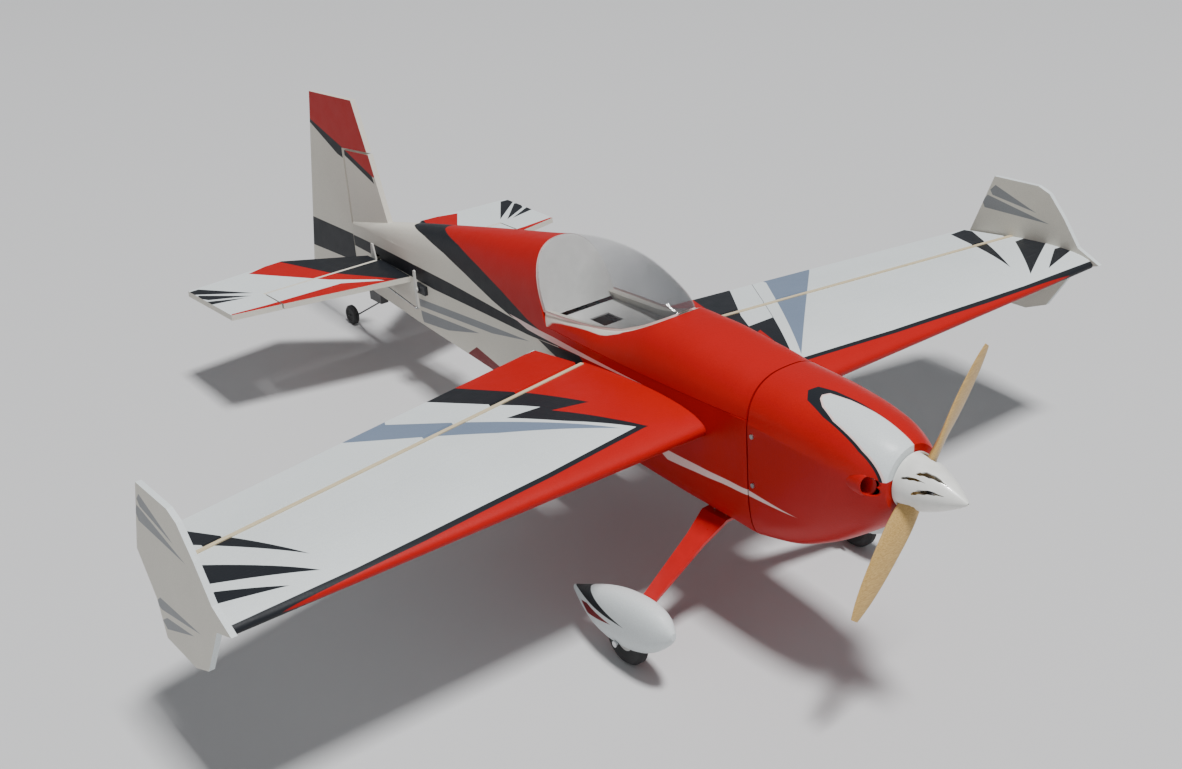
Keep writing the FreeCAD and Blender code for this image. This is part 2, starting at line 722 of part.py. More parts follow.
def make_motor():
    thrust = size("thrust_level")
    walls = box((-27, -150, -27), (27, -72, 27)).cut(box((-24, -147, -24), (24, -60, 24)))
    walls = walls.cut(box((-16, -130, -40), (16, -90, 40)))
    keep("motor_box", walls.translated(Vector(0, 0, thrust)))
    turned_body("motor_stator", [(0, -160.5), (15, -160.5), (15, -150), (0, -150)], (0, 0, thrust))
    shaft = size("shaft_radius")
    turned_body("motor_bell", [(0, -218), (shaft, -218), (shaft, -194), (12, -194), (17.5, -189),
                               (17.5, -161), (0, -161)], (0, 0, thrust))
    turned_body("prop_adapter", [(shaft, -206), (9, -206), (9, -224), (14, -224), (14, -228.5),
                                 (4, -228.5), (4, -243.1), (8, -243.1), (8, -251), (0, -254),
                                 (0, -218.2), (shaft, -218.2)], (0, 0, thrust))


def make_hatch():
    """The lift-off hatch: a foam deck with the clear canopy, cockpit floor and rear panel."""
    gap = size("seam_gap")
    seam = size("hatch_seam")
    wall = size("wall")
    deck = hollowed(DECK_STATIONS, DECK_POWER, DECK_CAVITY, wall)
    above = side_prism([(size("nose_seam") - 1, seam + gap), (size("hatch_rear") - gap, seam + gap),
                        (size("hatch_rear") - gap + size("hatch_lean") * 60, seam + gap + 60),
                        (size("nose_seam") - 1, seam + gap + 60)], -90, 90)
    over_sill = prism_above_sill(0.0)
    deck = deck.common(above).cut(over_sill)
    keep("hatch_deck", deck)
    outer = loft([canopy_ring(*station, 0.0) for station in CANOPY_STATIONS])
    inner = loft([canopy_ring(*station, 1.2) for station in CANOPY_STATIONS[:-1]]
                 + [canopy_ring(CANOPY_STATIONS[-1][0] + 6, *CANOPY_STATIONS[-1][1:], 1.2)])
    glass_space = prism_above_sill(0.1).common(ahead_of_rear_face(gap))
    keep("canopy", outer.cut(inner).common(glass_space))
    panel_space = prism_above_sill(-6.0).common(ahead_of_rear_face(gap + 1.0))
    panel = inner.common(panel_space.cut(ahead_of_rear_face(gap + 4.0)))
    keep("cockpit_bulkhead", panel.cut(deck))
    room = body_loft(DECK_STATIONS, DECK_POWER, wall + 0.2)
    floor = room.common(box((-80, 110, 36.5), (80, size("hatch_rear") - gap - 3.0, 38.5)))
    keep("cockpit_floor", floor.cut(box((-14, 226, 30), (14, 256, 45))))


# (along, half width, top, level of greatest width)
CANOPY_STATIONS = [(98, 13, 91, 84), (107, 23, 97.5, 80), (122, 31, 107.5, 74),
                   (145, 37.5, 118.5, 66), (172, 43.5, 127.5, 58), (205, 48, 133, 54),
                   (245, 51, 134, 51), (290, 52, 129.5, 49), (330, 51, 121, 48)]


def canopy_ring(along, half_width, top, middle, inset):
    """A canopy section: a rounded arch, mirrored below its widest level to close the ring."""
    height = top - middle
    return hull_section(along, half_width - inset, top - inset, middle - height + inset,
                        middle, 2.35, 2.35)


SILL = [(96, 88), (128, 72), (160, 60), (200, 53.5), (250, 50), (300, 47.5)]


def prism_above_sill(lift):
    """Everything above the canopy sill, which curves down from the deck to the rear corner."""
    points = [Vector(-90, y, z + lift) for y, z in SILL]
    curve = Part.BSplineCurve()
    curve.interpolate(points)
    high = 200.0
    corners = [points[-1], Vector(-90, 360, SILL[-1][1] - 3 + lift), Vector(-90, 360, high),
               Vector(-90, SILL[0][0], high), points[0]]
    wire = Part.Wire([curve.toShape(), *Part.makePolygon(corners).Edges])
    return Part.Face(wire).extrude(Vector(180, 0, 0))


def make_power():
    """Battery, speed controller and receiver in the fuselage."""
    block("battery", (-18, -30, -97.5))
    block("speed_controller", (-14, -140, -28))
    block("receiver", (-11, 190, -89))


# --- wings -----------------------------------------------------------------------------------

ARM_DROP = -8.0


def aileron_linkage():
    """The port aileron's servo, arm, horn and pushrod, and the pocket that takes the servo."""
    frame = hinge_frame(size("aileron_servo_station"))
    run = size("aileron_rod_run")
    arm = size("aileron_arm")
    servo = servo_shape((0, -run, ARM_DROP), -1.5, 1)
    lever = bar_plate((-run, ARM_DROP), (-run, ARM_DROP - arm), 3.5, 2.4, 0.7, ARM_THICK)
    lever = cross_hole(lever, (-run, ARM_DROP - arm), size("pin_hole_radius"))
    rod = pushrod((4.6, -run, ARM_DROP - arm), (4.6, 0, -arm), 0.2, 0.2)
    horn = horn_plate(arm)
    pocket = box((-26, -run - 24, -60), (6.5, -run + 15, -1.0))
    return [placed(shape, frame) for shape in (servo, lever, rod, horn, pocket)]


def horn_plate(arm):
    """A control horn below the aileron, its hole straight under the hinge."""
    outline = [(-2.6, -arm - 2.4), (2.6, -arm - 2.4), (26, -12), (26, -6), (9, -6), (6.5, -11)]
    return cross_hole(side_prism(outline, 0.7, 0.7 + ARM_THICK), (0, -arm),
                      size("pin_hole_radius"))


def make_wing_tube():
    """The carbon joiner tube through the body and both wing roots, as a driven cylinder."""
    tube = doc.addObject("Part::Cylinder", "wing_tube")
    tube.Label = "wing_tube"
    tube.setExpression("Radius", "Dims.tube_radius")
    tube.setExpression("Height", "2 * Dims.tube_half_length")
    centre = Vector(-size("tube_half_length"), size("tube_station"), 0)
    tube.Placement = STANCE.multiply(Placement(centre, Rotation(Vector(0, 1, 0), 90)))
    NODES.append(tube)


def make_wings(hull):
    bore = rod_between((-size("tube_half_length") - 1, size("tube_station"), 0),
                       (size("tube_half_length") + 1, size("tube_station"), 0),
                       size("tube_radius"))
    servo, lever, rod, horn, pocket = aileron_linkage()
    panel = spanwise_loft(panel_section, 30.0, size("wing_half_span")).cut(bore).cut(pocket)
    aileron = spanwise_loft(aileron_section, size("aileron_root_station"),
                            size("aileron_tip_station"))
    horn = horn.cut(aileron)
    horn = min(horn.Solids, key=lambda solid: solid.BoundBox.ZMin)
    strip = spanwise_loft(strip_section, size("aileron_root_station") - 2,
                          size("wing_half_span"))
    strip.translate(Vector(0, 0, GLUE_LINE))
    strip = max(strip.cut(panel).Solids, key=lambda solid: solid.Volume)
    for side, flip in (("left", lambda shape: shape), ("right", mirrored)):
        keep("wing_" + side, max(flip(panel).cut(hull).Solids, key=lambda solid: solid.Volume))
        keep("aileron_" + side, flip(aileron))
        keep("aileron_servo_arm_" + side, flip(lever))
        keep("aileron_pushrod_" + side, flip(rod))
        keep("aileron_horn_" + side, flip(horn))
    keep("aileron_servos", Part.makeCompound([servo, mirrored(servo)]))
    keep("hinge_strips", Part.makeCompound([strip, mirrored(strip)]))
    make_wing_tube()
    for side, sign in (("left", 1), ("right", -1)):
        centre = (sign * (size("wing_half_span") + size("plate_thick") / 2), 0, 0)
        plate_body("tip_plate_" + side, TIP_PLATE_OUTLINE, "YZ_Plane", "Dims.plate_thick", centre)


# --- tail ------------------------------------------------------------------------------------


def make_tail():
    level = size("stab_level")
    half = size("foam_thick") / 2
    plate_body("stabiliser", stabiliser_outline(), "XY_Plane", "Dims.foam_thick", (0, 0, level))
    nose = ELEVATOR_HALF[0][1]
    bevel = size("elevator_bevel")
    over = half + 1.0
    run = bevel * over / half
    wedges = [("YZ_Plane", [(nose, 0), (nose + run, sign * over), (nose, sign * over)], 394.0)
              for sign in (1, -1)]
    for side, sign in (("left", 1), ("right", -1)):
        outline = [(sign * x, y) for x, y in ELEVATOR_HALF]
        plate_body("elevator_" + side, outline, "XY_Plane", "Dims.foam_thick", (0, 0, level),
                   wedges)
    plate_body("fin", FIN_OUTLINE, "YZ_Plane", "Dims.foam_thick", (0, 0, 0))
    front = RUDDER_OUTLINE[0][0]
    rudder_wedges = [("XY_Plane", [(0, front), (sign * over, front + run), (sign * over, front)],
                      2 * RUDDER_OUTLINE[1][1]) for sign in (1, -1)]
    plate_body("rudder", RUDDER_OUTLINE, "YZ_Plane", "Dims.foam_thick", (0, 0, 0), rudder_wedges)


def make_elevator_linkage():
    x, y, z = elevator_servo_pivot()
    arm = size("elevator_arm_length")
    hinge = size("elevator_hinge")
    level = size("stab_level")
    joiner_along = hinge + JOINER_OFFSET
    keep("elevator_servo", elevator_servo())
    lever = bar_plate((y, z + arm), (y, z - arm), 2.4, 2.4, x - ARM_THICK, ARM_THICK)
    lever = lever.fuse(Part.makeCylinder(4, ARM_THICK, Vector(x - ARM_THICK, y, z),
                                         Vector(1, 0, 0))).removeSplitter()
    lever = cross_hole(lever, (y, z - arm), size("pin_hole_radius"))
    keep("elevator_servo_arm", cross_hole(lever, (y, z + arm), size("pin_hole_radius")))
    outer = x - ARM_THICK - 2.2
    keep("elevator_pushrod", pushrod((outer, y, z - arm), (-HORN_FACE - 2.2, hinge, level - arm),
                                     x + 0.5, -HORN_FACE + HORN_THICK + 0.5))
    outline = [(hinge - 2.6, level - arm - 2.6), (hinge + 2.6, level - arm - 2.6),
               (hinge + 18, level - 5), (hinge + 18, level + 5), (hinge + 15, level + 26),
               (hinge + 10, level + 26), (hinge + 5, level + 4), (hinge + 5, level - 4)]
    horn = side_prism(outline, -HORN_FACE, -HORN_FACE + HORN_THICK)
    horn = cross_hole(horn, (hinge, level - arm), size("pin_hole_radius"))
    keep("elevator_horn", cross_hole(horn, (joiner_along, level), JOINER_RADIUS))
    keep("elevator_joiner", rod_between((-HORN_FACE - 0.1, joiner_along, level),
                                        (HORN_FACE + 0.1, joiner_along, level), JOINER_RADIUS))


def make_rudder_linkage():
    """The linkage is drawn lying in the Y-Z plane and stood upright, so its pins are vertical."""
    along = size("rudder_servo_along")
    arm = size("rudder_arm_length")
    side = size("rudder_servo_side")
    level = size("rudder_rod_level")
    hinge = size("rudder_hinge") + 0.5
    keep("rudder_servo", rudder_servo())

    def upright(shape):
        return placed(shape, Placement(Vector(0, 0, level), Rotation(Vector(0, 1, 0), 90)))

    lever = bar_plate((along, side), (along, side + arm), 3.5, 2.4, 0.0, ARM_THICK)
    keep("rudder_servo_arm", upright(cross_hole(lever, (along, side + arm),
                                                size("pin_hole_radius"))))
    keep("rudder_pushrod", upright(pushrod((4.4, along, side + arm), (4.4, hinge, arm),
                                           -0.5, -0.5)))
    outline = [(hinge - 2.6, arm + 2.6), (hinge + 2.6, arm + 2.6), (hinge + 25, 4.0),
               (hinge + 7, 4.0), (hinge - 2.6, arm - 2.6)]
    keep("rudder_horn", upright(cross_hole(side_prism(outline, 0.0, ARM_THICK), (hinge, arm),
                                           size("pin_hole_radius"))))


# --- undercarriage ---------------------------------------------------------------------------

# Wheel fairing: (along, half width, top, bottom)
PANT_STATIONS = [(-71, 3, -164, -172), (-60, 10.5, -152, -186), (-35, 17, -144.5, -204),
                 (0, 19, -147, -214), (40, 16.5, -158, -214), (75, 8.5, -173, -204),
                 (97, 2.2, -182, -189)]


LEG_TOP = 46.0
LEG_FOOT = 152.0
AXLE_END = 192.0
AXLE_NUT_RADIUS = 4.0
AXLE_COLLAR_RADIUS = 3.6
PANT_WALL = 1.6


def pant_loft(inset):
    rings = []
    for along, half_width, top, bottom in PANT_STATIONS:
        shrink = min(inset, half_width * 0.5)
        middle = (top + bottom) / 2
        rings.append(hull_section(along + (shrink if along < 0 else -shrink) * (inset > 0),
                                  half_width - shrink, top - shrink, bottom + shrink,
                                  middle, 2.3, 2.6))
    return loft(rings)


def make_undercarriage(hull):
    station = size("wheel_station")
    along = size("axle_along")
    level = size("axle_level")
    radius = size("wheel_radius")
    axle = size("axle_radius")
    pant = pant_loft(0.0).cut(pant_loft(PANT_WALL))
    pant = pant.cut(box((-11, along - radius - 4, -230), (11, along + radius + 4, -192)))
    pant = pant.cut(rod_between((-40, along, level), (40, along, level), axle + 1.0))
    pant = max(pant.Solids, key=lambda solid: solid.Volume).translated(Vector(station, 0, 0))
    leg = gear_leg(hull)
    leg = leg.cut(rod_between((140, along, level), (165, along, level), axle))
    pin = rod_between((LEG_FOOT - 4, along, level), (AXLE_END, along, level), axle)
    nut = rod_between((LEG_FOOT - 5, along, level), (LEG_FOOT, along, level), AXLE_NUT_RADIUS)
    collar = rod_between((AXLE_END - 2, along, level), (AXLE_END + 0.5, along, level),
                         AXLE_COLLAR_RADIUS)
    pin = pin.fuse(nut).fuse(collar)
    keep("axles", Part.makeCompound([pin, mirrored(pin)]))
    keep("gear_screws", leg_screws())
    leg = leg.cut(leg_screws())
    hub = size("hub_radius")
    half = size("wheel_width") / 2
    for side, sign, flip in (("left", 1, lambda shape: shape), ("right", -1, mirrored)):
        keep("wheel_pant_" + side, flip(pant))
        keep("gear_leg_" + side, flip(leg))
        centre = (sign * station, along, level)
        turned_body("wheel_hub_" + side, [(axle + 0.06, -half + 1), (hub, -half + 3),
                                          (hub, half - 3), (axle + 0.06, half - 1)], centre, True)
        turned_body("tyre_" + side, [(hub, -half + 3), (radius - 8, -half), (radius - 3, -half + 1.5),
                                     (radius, -half + 5), (radius, half - 5),
                                     (radius - 3, half - 1.5), (radius - 8, half),
                                     (hub, half - 3)], centre, True)


def gear_leg(hull):
    """One leg: a flat strip under the belly, bent down and outwards to an upright axle foot."""
    thick = size("leg_thick")
    belly = -107.6
    bend = -180.0
    foot = -216.0
    outline = [(12, belly), (LEG_TOP + 1, belly), (LEG_FOOT + thick, bend), (LEG_FOOT + thick, foot),
               (LEG_FOOT, foot), (LEG_FOOT, bend - 1.4), (LEG_TOP, belly - thick),
               (12, belly - thick)]
    strip = prism([(x, -60, z) for x, z in outline], (0, 120, 0))
    centre = size("axle_along")
    plan = [(10, centre - 19), (50, centre - 19), (75, centre - 14), (LEG_FOOT - 8, centre - 9.5),
            (LEG_FOOT + 5, centre - 9.5), (LEG_FOOT + 5, centre + 9.5),
            (LEG_FOOT - 8, centre + 9.5), (75, centre + 14), (50, centre + 19), (10, centre + 19)]
    return strip.common(plan_prism(plan, -240, -90)).cut(hull)


def leg_screws():
    """Four machine screws up through each leg's top tab into the belly."""
    along = size("axle_along")
    screws = []
    for side in (-1, 1):
        for x in (22.0, 38.0):
            for y in (along - 9, along + 9):
                shank = rod_between((side * x, y, -110.6), (side * x, y, -103.5), 1.5)
                head = rod_between((side * x, y, -112.4), (side * x, y, -110.6), 2.8)
                screws.append(shank.fuse(head))
    return Part.makeCompound(screws)


def make_tail_wheel(hull):
    along = size("tail_axle_along")
    level = size("tail_axle_level")
    steer = size("tail_steer_along")
    wire = size("wire_radius")
    bracket = box((-6, steer - 18, -93), (6, steer + 14, -72)).cut(hull)
    bracket = max(bracket.Solids, key=lambda solid: -solid.BoundBox.ZMin)
    bracket = bracket.cut(rod_between((0, steer, -100), (0, steer, -81), wire + 0.08))
    keep("tail_bracket", bracket)
    side = 8.0
    path = [(0, steer, -82), (0, steer, -97), (side, along - 6, level), (side, along, level),
            (-size("tail_wheel_width") / 2 - 2, along, level)]
    strut = None
    for start, end in zip(path, path[1:]):
        leg = rod_between(start, end, wire)
        strut = leg if strut is None else strut.fuse(leg)
    for corner in path[1:-1]:
        strut = strut.fuse(Part.makeSphere(wire, Vector(*corner)))
    keep("tail_strut", strut)
    outer = size("tail_wheel_radius")
    half = size("tail_wheel_width") / 2
    turned_body("tail_wheel", [(wire + 0.06, -half + 1), (8, -half + 1), (9, -half),
                               (outer - 2, -half), (outer, -half + 2), (outer, half - 2),
                               (outer - 2, half), (9, half), (8, half - 1),
                               (wire + 0.06, half - 1)], (0, along, level), True)


# --- build, check and write ------------------------------------------------------------------

hull_form = body_solid()
make_fuselage()
make_nose_former()
make_cowl()
keep("cowl_screws", cowl_screws())
make_spinner()
make_propeller()
make_motor()
make_hatch()
make_power()
make_wings(hull_form)
make_tail()
make_elevator_linkage()
make_rudder_linkage()
make_undercarriage(hull_form)
make_tail_wheel(hull_form)
doc.recompute()

for item in doc.Objects:
    if "Invalid" in item.State or "Error" in item.State:
        raise RuntimeError(f"{item.Name} did not compute: {item.State}")
for part in NODES:
    if part.Shape.isNull() or not part.Shape.isValid() or not part.Shape.Solids:
        raise RuntimeError(f"{part.Label} has no valid solid")

os.makedirs("parts", exist_ok=True)
for part in NODES:
    part.Shape.exportStep(f"parts/{part.Label}.step")
print(len(NODES), "sub-parts")
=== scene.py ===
import math

import bmesh
import bpy
from mathutils import Matrix, Vector


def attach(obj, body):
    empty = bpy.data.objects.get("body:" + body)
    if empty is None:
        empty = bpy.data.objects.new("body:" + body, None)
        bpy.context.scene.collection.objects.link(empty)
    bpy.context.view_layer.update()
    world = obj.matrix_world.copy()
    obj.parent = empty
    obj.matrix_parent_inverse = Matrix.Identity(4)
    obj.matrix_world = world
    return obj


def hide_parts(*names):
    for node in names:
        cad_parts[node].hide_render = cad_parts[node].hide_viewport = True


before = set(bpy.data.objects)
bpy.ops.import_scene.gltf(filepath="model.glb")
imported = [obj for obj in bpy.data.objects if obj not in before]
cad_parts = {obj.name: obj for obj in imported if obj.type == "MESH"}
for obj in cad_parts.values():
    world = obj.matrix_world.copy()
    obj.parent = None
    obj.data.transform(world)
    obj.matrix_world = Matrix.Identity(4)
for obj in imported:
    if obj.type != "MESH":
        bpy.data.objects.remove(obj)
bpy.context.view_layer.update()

# The model stands nose up on its wheels. Paint and added pieces are laid out in the level
# airframe's own frame, in millimetres: X to port, Y rearwards from the wing's leading edge,
# Z up from the wing's plane. These turn that frame into the standing one.
STANCE_ANGLE = math.radians(-5.16685)
STANCE_SHIFT = Vector((0.0, -342.573, 237.251))
MM = 0.001
STANCE = (Matrix.Scale(MM, 4) @ Matrix.Translation(STANCE_SHIFT)
          @ Matrix.Rotation(STANCE_ANGLE, 4, "X"))

# Paint colours, linear.
RED = (0.430, 0.0045, 0.0035)
DARK_RED = (0.180, 0.006, 0.010)
WHITE = (0.690, 0.735, 0.740)
CREAM = (0.680, 0.650, 0.570)
BLACK = (0.014, 0.016, 0.020)
SLATE = (0.165, 0.215, 0.300)
GREY = (0.260, 0.270, 0.280)
PALE_PINK = (0.800, 0.600, 0.570)


# --- shader helpers ------------------------------------------------------------------------------


def math_node(tree, operation, *values, clamp=False):
    """A math node fed by sockets or plain numbers; gives back its output."""
    node = tree.nodes.new("ShaderNodeMath")
    node.operation = operation
    node.use_clamp = clamp
    for socket, value in zip(node.inputs, values):
        if isinstance(value, (int, float)):
            socket.default_value = value
        else:
            tree.links.new(value, socket)
    return node.outputs[0]


def level_axes(tree):
    """The surface point in the level airframe frame, in millimetres, as X, Y and Z sockets."""
    coordinates = tree.nodes.new("ShaderNodeTexCoord")
    mapping = tree.nodes.new("ShaderNodeMapping")
    mapping.vector_type = "POINT"
    unturned = Matrix.Rotation(-STANCE_ANGLE, 3, "X") @ -STANCE_SHIFT
    mapping.inputs["Location"].default_value = unturned
    mapping.inputs["Rotation"].default_value = (-STANCE_ANGLE, 0.0, 0.0)
    mapping.inputs["Scale"].default_value = (1 / MM, 1 / MM, 1 / MM)
    tree.links.new(coordinates.outputs["Object"], mapping.inputs["Vector"])
    split = tree.nodes.new("ShaderNodeSeparateXYZ")
    tree.links.new(mapping.outputs["Vector"], split.inputs[0])
    return {"x": split.outputs[0], "y": split.outputs[1], "z": split.outputs[2],
            "object": coordinates.outputs["Object"], "normal": coordinates.outputs["Normal"],
            "level": mapping.outputs["Vector"]}


# How soft a painted edge is and how far each region is grown, both in millimetres. The growth
# hides the seams between the convex parts of one outline.
PAINT_EDGE = 0.35
PAINT_GROWTH = 0.3
# Below these a turn between two lines, and a distance along a line, count as nothing.
NO_TURN = 1e-9
NO_LENGTH = 1e-6


def cross(origin, a, b):
    """Twice the signed area of a corner; positive for a left turn."""
    return ((a[0] - origin[0]) * (b[1] - origin[1])
            - (a[1] - origin[1]) * (b[0] - origin[0]))


def signed_area(corners):
    """An outline's area, positive when its corners run anticlockwise."""
    return 0.5 * sum(a[0] * b[1] - b[0] * a[1]
                     for a, b in zip(corners, corners[1:] + corners[:1]))


def ray_hit(start, aim, a, b):
    """Where the line from start through aim, beyond aim, meets the edge from a to b."""
    dx, dy = aim[0] - start[0], aim[1] - start[1]
    ex, ey = b[0] - a[0], b[1] - a[1]
    turn = dx * ey - dy * ex
    if abs(turn) < NO_TURN:
        return None
    along = ((a[0] - aim[0]) * ey - (a[1] - aim[1]) * ex) / turn
    share = ((a[0] - aim[0]) * dy - (a[1] - aim[1]) * dx) / turn
    if along <= NO_LENGTH or not 0.0 <= share <= 1.0:
        return None
    return along, (a[0] + ex * share, a[1] + ey * share)


def convex_parts(corners):
    """Splits an outline into convex ones by running on the edge before each inward corner."""
    if signed_area(corners) < 0:
        corners = corners[::-1]
    count = len(corners)
    for index in range(count):
        before, here = corners[index - 1], corners[index]
        if cross(before, here, corners[(index + 1) % count]) >= -NO_LENGTH:
            continue
        hits = []
        for step in range(1, count - 1):
            edge = (index + step) % count
            hit = ray_hit(before, here, corners[edge], corners[(edge + 1) % count])
            if hit:
                hits.append((hit[0], step, hit[1]))
        _, step, point = min(hits)
        first = [corners[(index + k) % count] for k in range(step + 1)] + [point]
        second = [point] + [corners[(index + k) % count] for k in range(step + 1, count)]
        return convex_parts(first) + convex_parts(second)
    return [corners]


def polygon_depth(tree, across, along, corners):
    """How far inside a convex outline a point is, in millimetres; negative outside."""
    depth = None
    for (x0, y0), (x1, y1) in zip(corners, corners[1:] + corners[:1]):
        length = math.hypot(x1 - x0, y1 - y0)
        if length < PAINT_EDGE:
            continue
        slope_x = -(y1 - y0) / length
        slope_y = (x1 - x0) / length
        start = -(slope_x * x0 + slope_y * y0)
        part = math_node(tree, "MULTIPLY_ADD", across, slope_x, start)
        part = math_node(tree, "MULTIPLY_ADD", along, slope_y, part)
        depth = part if depth is None else math_node(tree, "MINIMUM", depth, part)
    return depth


def region(tree, across, along, outlines):
    """A mask that is 1 inside any of the outlines, with a crisp painted edge."""
    depth = None
    for outline in outlines:
        for corners in convex_parts(outline):
            part = polygon_depth(tree, across, along, corners)
            depth = part if depth is None else math_node(tree, "MAXIMUM", depth, part)
    start = 0.5 + PAINT_GROWTH / PAINT_EDGE
    return math_node(tree, "MULTIPLY_ADD", depth, 1 / PAINT_EDGE, start, clamp=True)


def over(tree, mask, below, colour):
    """Paint of one colour over another, where the mask is 1."""
    mix = tree.nodes.new("ShaderNodeMix")
    mix.data_type = "RGBA"
    tree.links.new(mask, mix.inputs["Factor"])
    for socket, value in ((mix.inputs["A"], below), (mix.inputs["B"], colour)):
        if isinstance(value, tuple):
            socket.default_value = (*value, 1.0)
        else:
            tree.links.new(value, socket)
    return mix.outputs["Result"]


def new_material(name):
    """An empty node material with one Principled shader."""
    material = bpy.data.materials.new(name)
    material.use_nodes = True
    tree = material.node_tree
    return material, tree, tree.nodes["Principled BSDF"]


def noise(tree, vector, scale, detail=2.0):
    """A noise texture's value at a scale in features per metre."""
    node = tree.nodes.new("ShaderNodeTexNoise")
    node.inputs["Scale"].default_value = scale
    node.inputs["Detail"].default_value = detail
    tree.links.new(vector, node.inputs["Vector"])
    return node.outputs["Fac"]


def spread(tree, value, low, high):
    """Rescales a 0 to 1 value to the range from low to high."""
    return math_node(tree, "MULTIPLY_ADD", value, high - low, low)


def shaded(tree, colour, factor):
    """A colour made a little darker or lighter by a factor near 1."""
    scale = tree.nodes.new("ShaderNodeVectorMath")
    scale.operation = "SCALE"
    if isinstance(colour, tuple):
        scale.inputs[0].default_value = colour
    else:
        tree.links.new(colour, scale.inputs[0])
    tree.links.new(factor, scale.inputs["Scale"])
    return scale.outputs[0]


def bump(tree, shader, height, strength, distance):
    """Relief from a height value; distance is in metres."""
    node = tree.nodes.new("ShaderNodeBump")
    node.inputs["Strength"].default_value = strength
    node.inputs["Distance"].default_value = distance
    tree.links.new(height, node.inputs["Height"])
    tree.links.new(node.outputs["Normal"], shader.inputs["Normal"])


# Moulded foam: broad and fine mottling of its paint as (scale, darkest, lightest), patches of wear
# as (scale, glossier by, duller by), and its pressed beads. Scales are in features per metre.
FOAM_CLOUDS = (14.0, 0.95, 1.05)
FOAM_GRAIN = (900.0, 0.86, 1.14)
FOAM_WEAR = (60.0, 0.07, 0.09)
BEAD_SCALE = 430.0
BEAD_GRAIN_SCALE = 1500.0
BEAD_GRAIN_SHARE = 0.5
CREASE_DEPTH = -2.5
FOAM_RELIEF_STRENGTH = 0.22
FOAM_RELIEF_DISTANCE = 0.00035
FOAM_SPECULAR = 0.2
FLAT_FACE = 0.8


def mottled(tree, vector, setting, detail):
    """Noise between two tones, from a (scale, low, high) setting."""
    scale, low, high = setting
    return spread(tree, noise(tree, vector, scale, detail), low, high)


def uneven_gloss(tree, value, roughness, glossier, duller):
    """A roughness that a 0 to 1 value carries a little below and above its middle."""
    return spread(tree, value, roughness - glossier, roughness + duller)


def bead_relief(tree, vector):
    """Moulded foam's faint skin of pressed beads."""
    cells = tree.nodes.new("ShaderNodeTexVoronoi")
    cells.inputs["Scale"].default_value = BEAD_SCALE
    tree.links.new(vector, cells.inputs["Vector"])
    grain = noise(tree, vector, BEAD_GRAIN_SCALE, detail=3.0)
    return math_node(tree, "MULTIPLY_ADD", grain, BEAD_GRAIN_SHARE, cells.outputs["Distance"])


def keep_between(tree, mask, value, low, high):
    """The mask where the value is between two limits, and nothing elsewhere."""
    above = math_node(tree, "GREATER_THAN", value, low)
    below = math_node(tree, "LESS_THAN", value, high)
    return math_node(tree, "MULTIPLY", mask, math_node(tree, "MULTIPLY", above, below))


def printed(tree, axes, base, layers):
    """The base colour with each layer's regions painted over it, first layer lowest."""
    colour = base
    for paint, (across, along), outlines, *bands in layers:
        mask = region(tree, axes[across], axes[along], outlines)
        for axis, low, high in bands:
            mask = keep_between(tree, mask, axes[axis], low, high)
        colour = over(tree, mask, colour, paint)
    return colour


def plain_cut_edges(tree, axes, colour, face, edge):
    """Keeps the print to faces whose normal lies along one axis, leaving the cut edges plain."""
    split = tree.nodes.new("ShaderNodeSeparateXYZ")
    tree.links.new(axes["normal"], split.inputs[0])
    facing = math_node(tree, "ABSOLUTE", split.outputs["XYZ".index(face)])
    flat = math_node(tree, "GREATER_THAN", facing, FLAT_FACE)
    return over(tree, flat, edge, colour)


def painted_foam(name, base, layers, roughness=0.46, face=None, edge=CREAM, grooves=()):
    """Foam in a base colour with printed regions; on the body one region is painted shade.

    layers is a list of (colour, two axes, outlines), first layer lowest, and may end with
    (axis, low, high), a band that the layer keeps to. "X" is the distance from the middle, so
    that one outline serves both sides. face limits the print to faces whose normal is along
    that axis. grooves is a list of (two axes, thin outlines) pressed into the surface.
    """
    material, tree, shader = new_material(name)
    axes = level_axes(tree)
    axes["X"] = math_node(tree, "ABSOLUTE", axes["x"])
    vector = axes["object"]
    colour = printed(tree, axes, base, layers)
    if face is not None:
        colour = plain_cut_edges(tree, axes, colour, face, edge)
    tone = math_node(tree, "MULTIPLY", mottled(tree, vector, FOAM_CLOUDS, 3.0),
                     mottled(tree, vector, FOAM_GRAIN, 2.0))
    tree.links.new(shaded(tree, colour, tone), shader.inputs["Base Color"])
    scale, glossier, duller = FOAM_WEAR
    wear = noise(tree, vector, scale, detail=4.0)
    tree.links.new(uneven_gloss(tree, wear, roughness, glossier, duller),
                   shader.inputs["Roughness"])
    height = bead_relief(tree, vector)
    for (across, along), outlines in grooves:
        dent = region(tree, axes[across], axes[along], outlines)
        height = math_node(tree, "MULTIPLY_ADD", dent, CREASE_DEPTH, height)
    bump(tree, shader, height, FOAM_RELIEF_STRENGTH, FOAM_RELIEF_DISTANCE)
    shader.inputs["Specular IOR Level"].default_value = FOAM_SPECULAR
    return material


def stripe(points, half_width):
    """Overlapping thin quads along a polyline, for a printed or pressed line."""
    quads = []
    for (x0, y0), (x1, y1) in zip(points, points[1:]):
        length = math.hypot(x1 - x0, y1 - y0)
        ux, uy = (x1 - x0) / length, (y1 - y0) / length
        x0, y0, x1, y1 = x0 - ux, y0 - uy, x1 + ux, y1 + uy
        nx, ny = -uy * half_width, ux * half_width
        quads.append([(x0 + nx, y0 + ny), (x1 + nx, y1 + ny),
                      (x1 - nx, y1 - ny), (x0 - nx, y0 - ny)])
    return quads
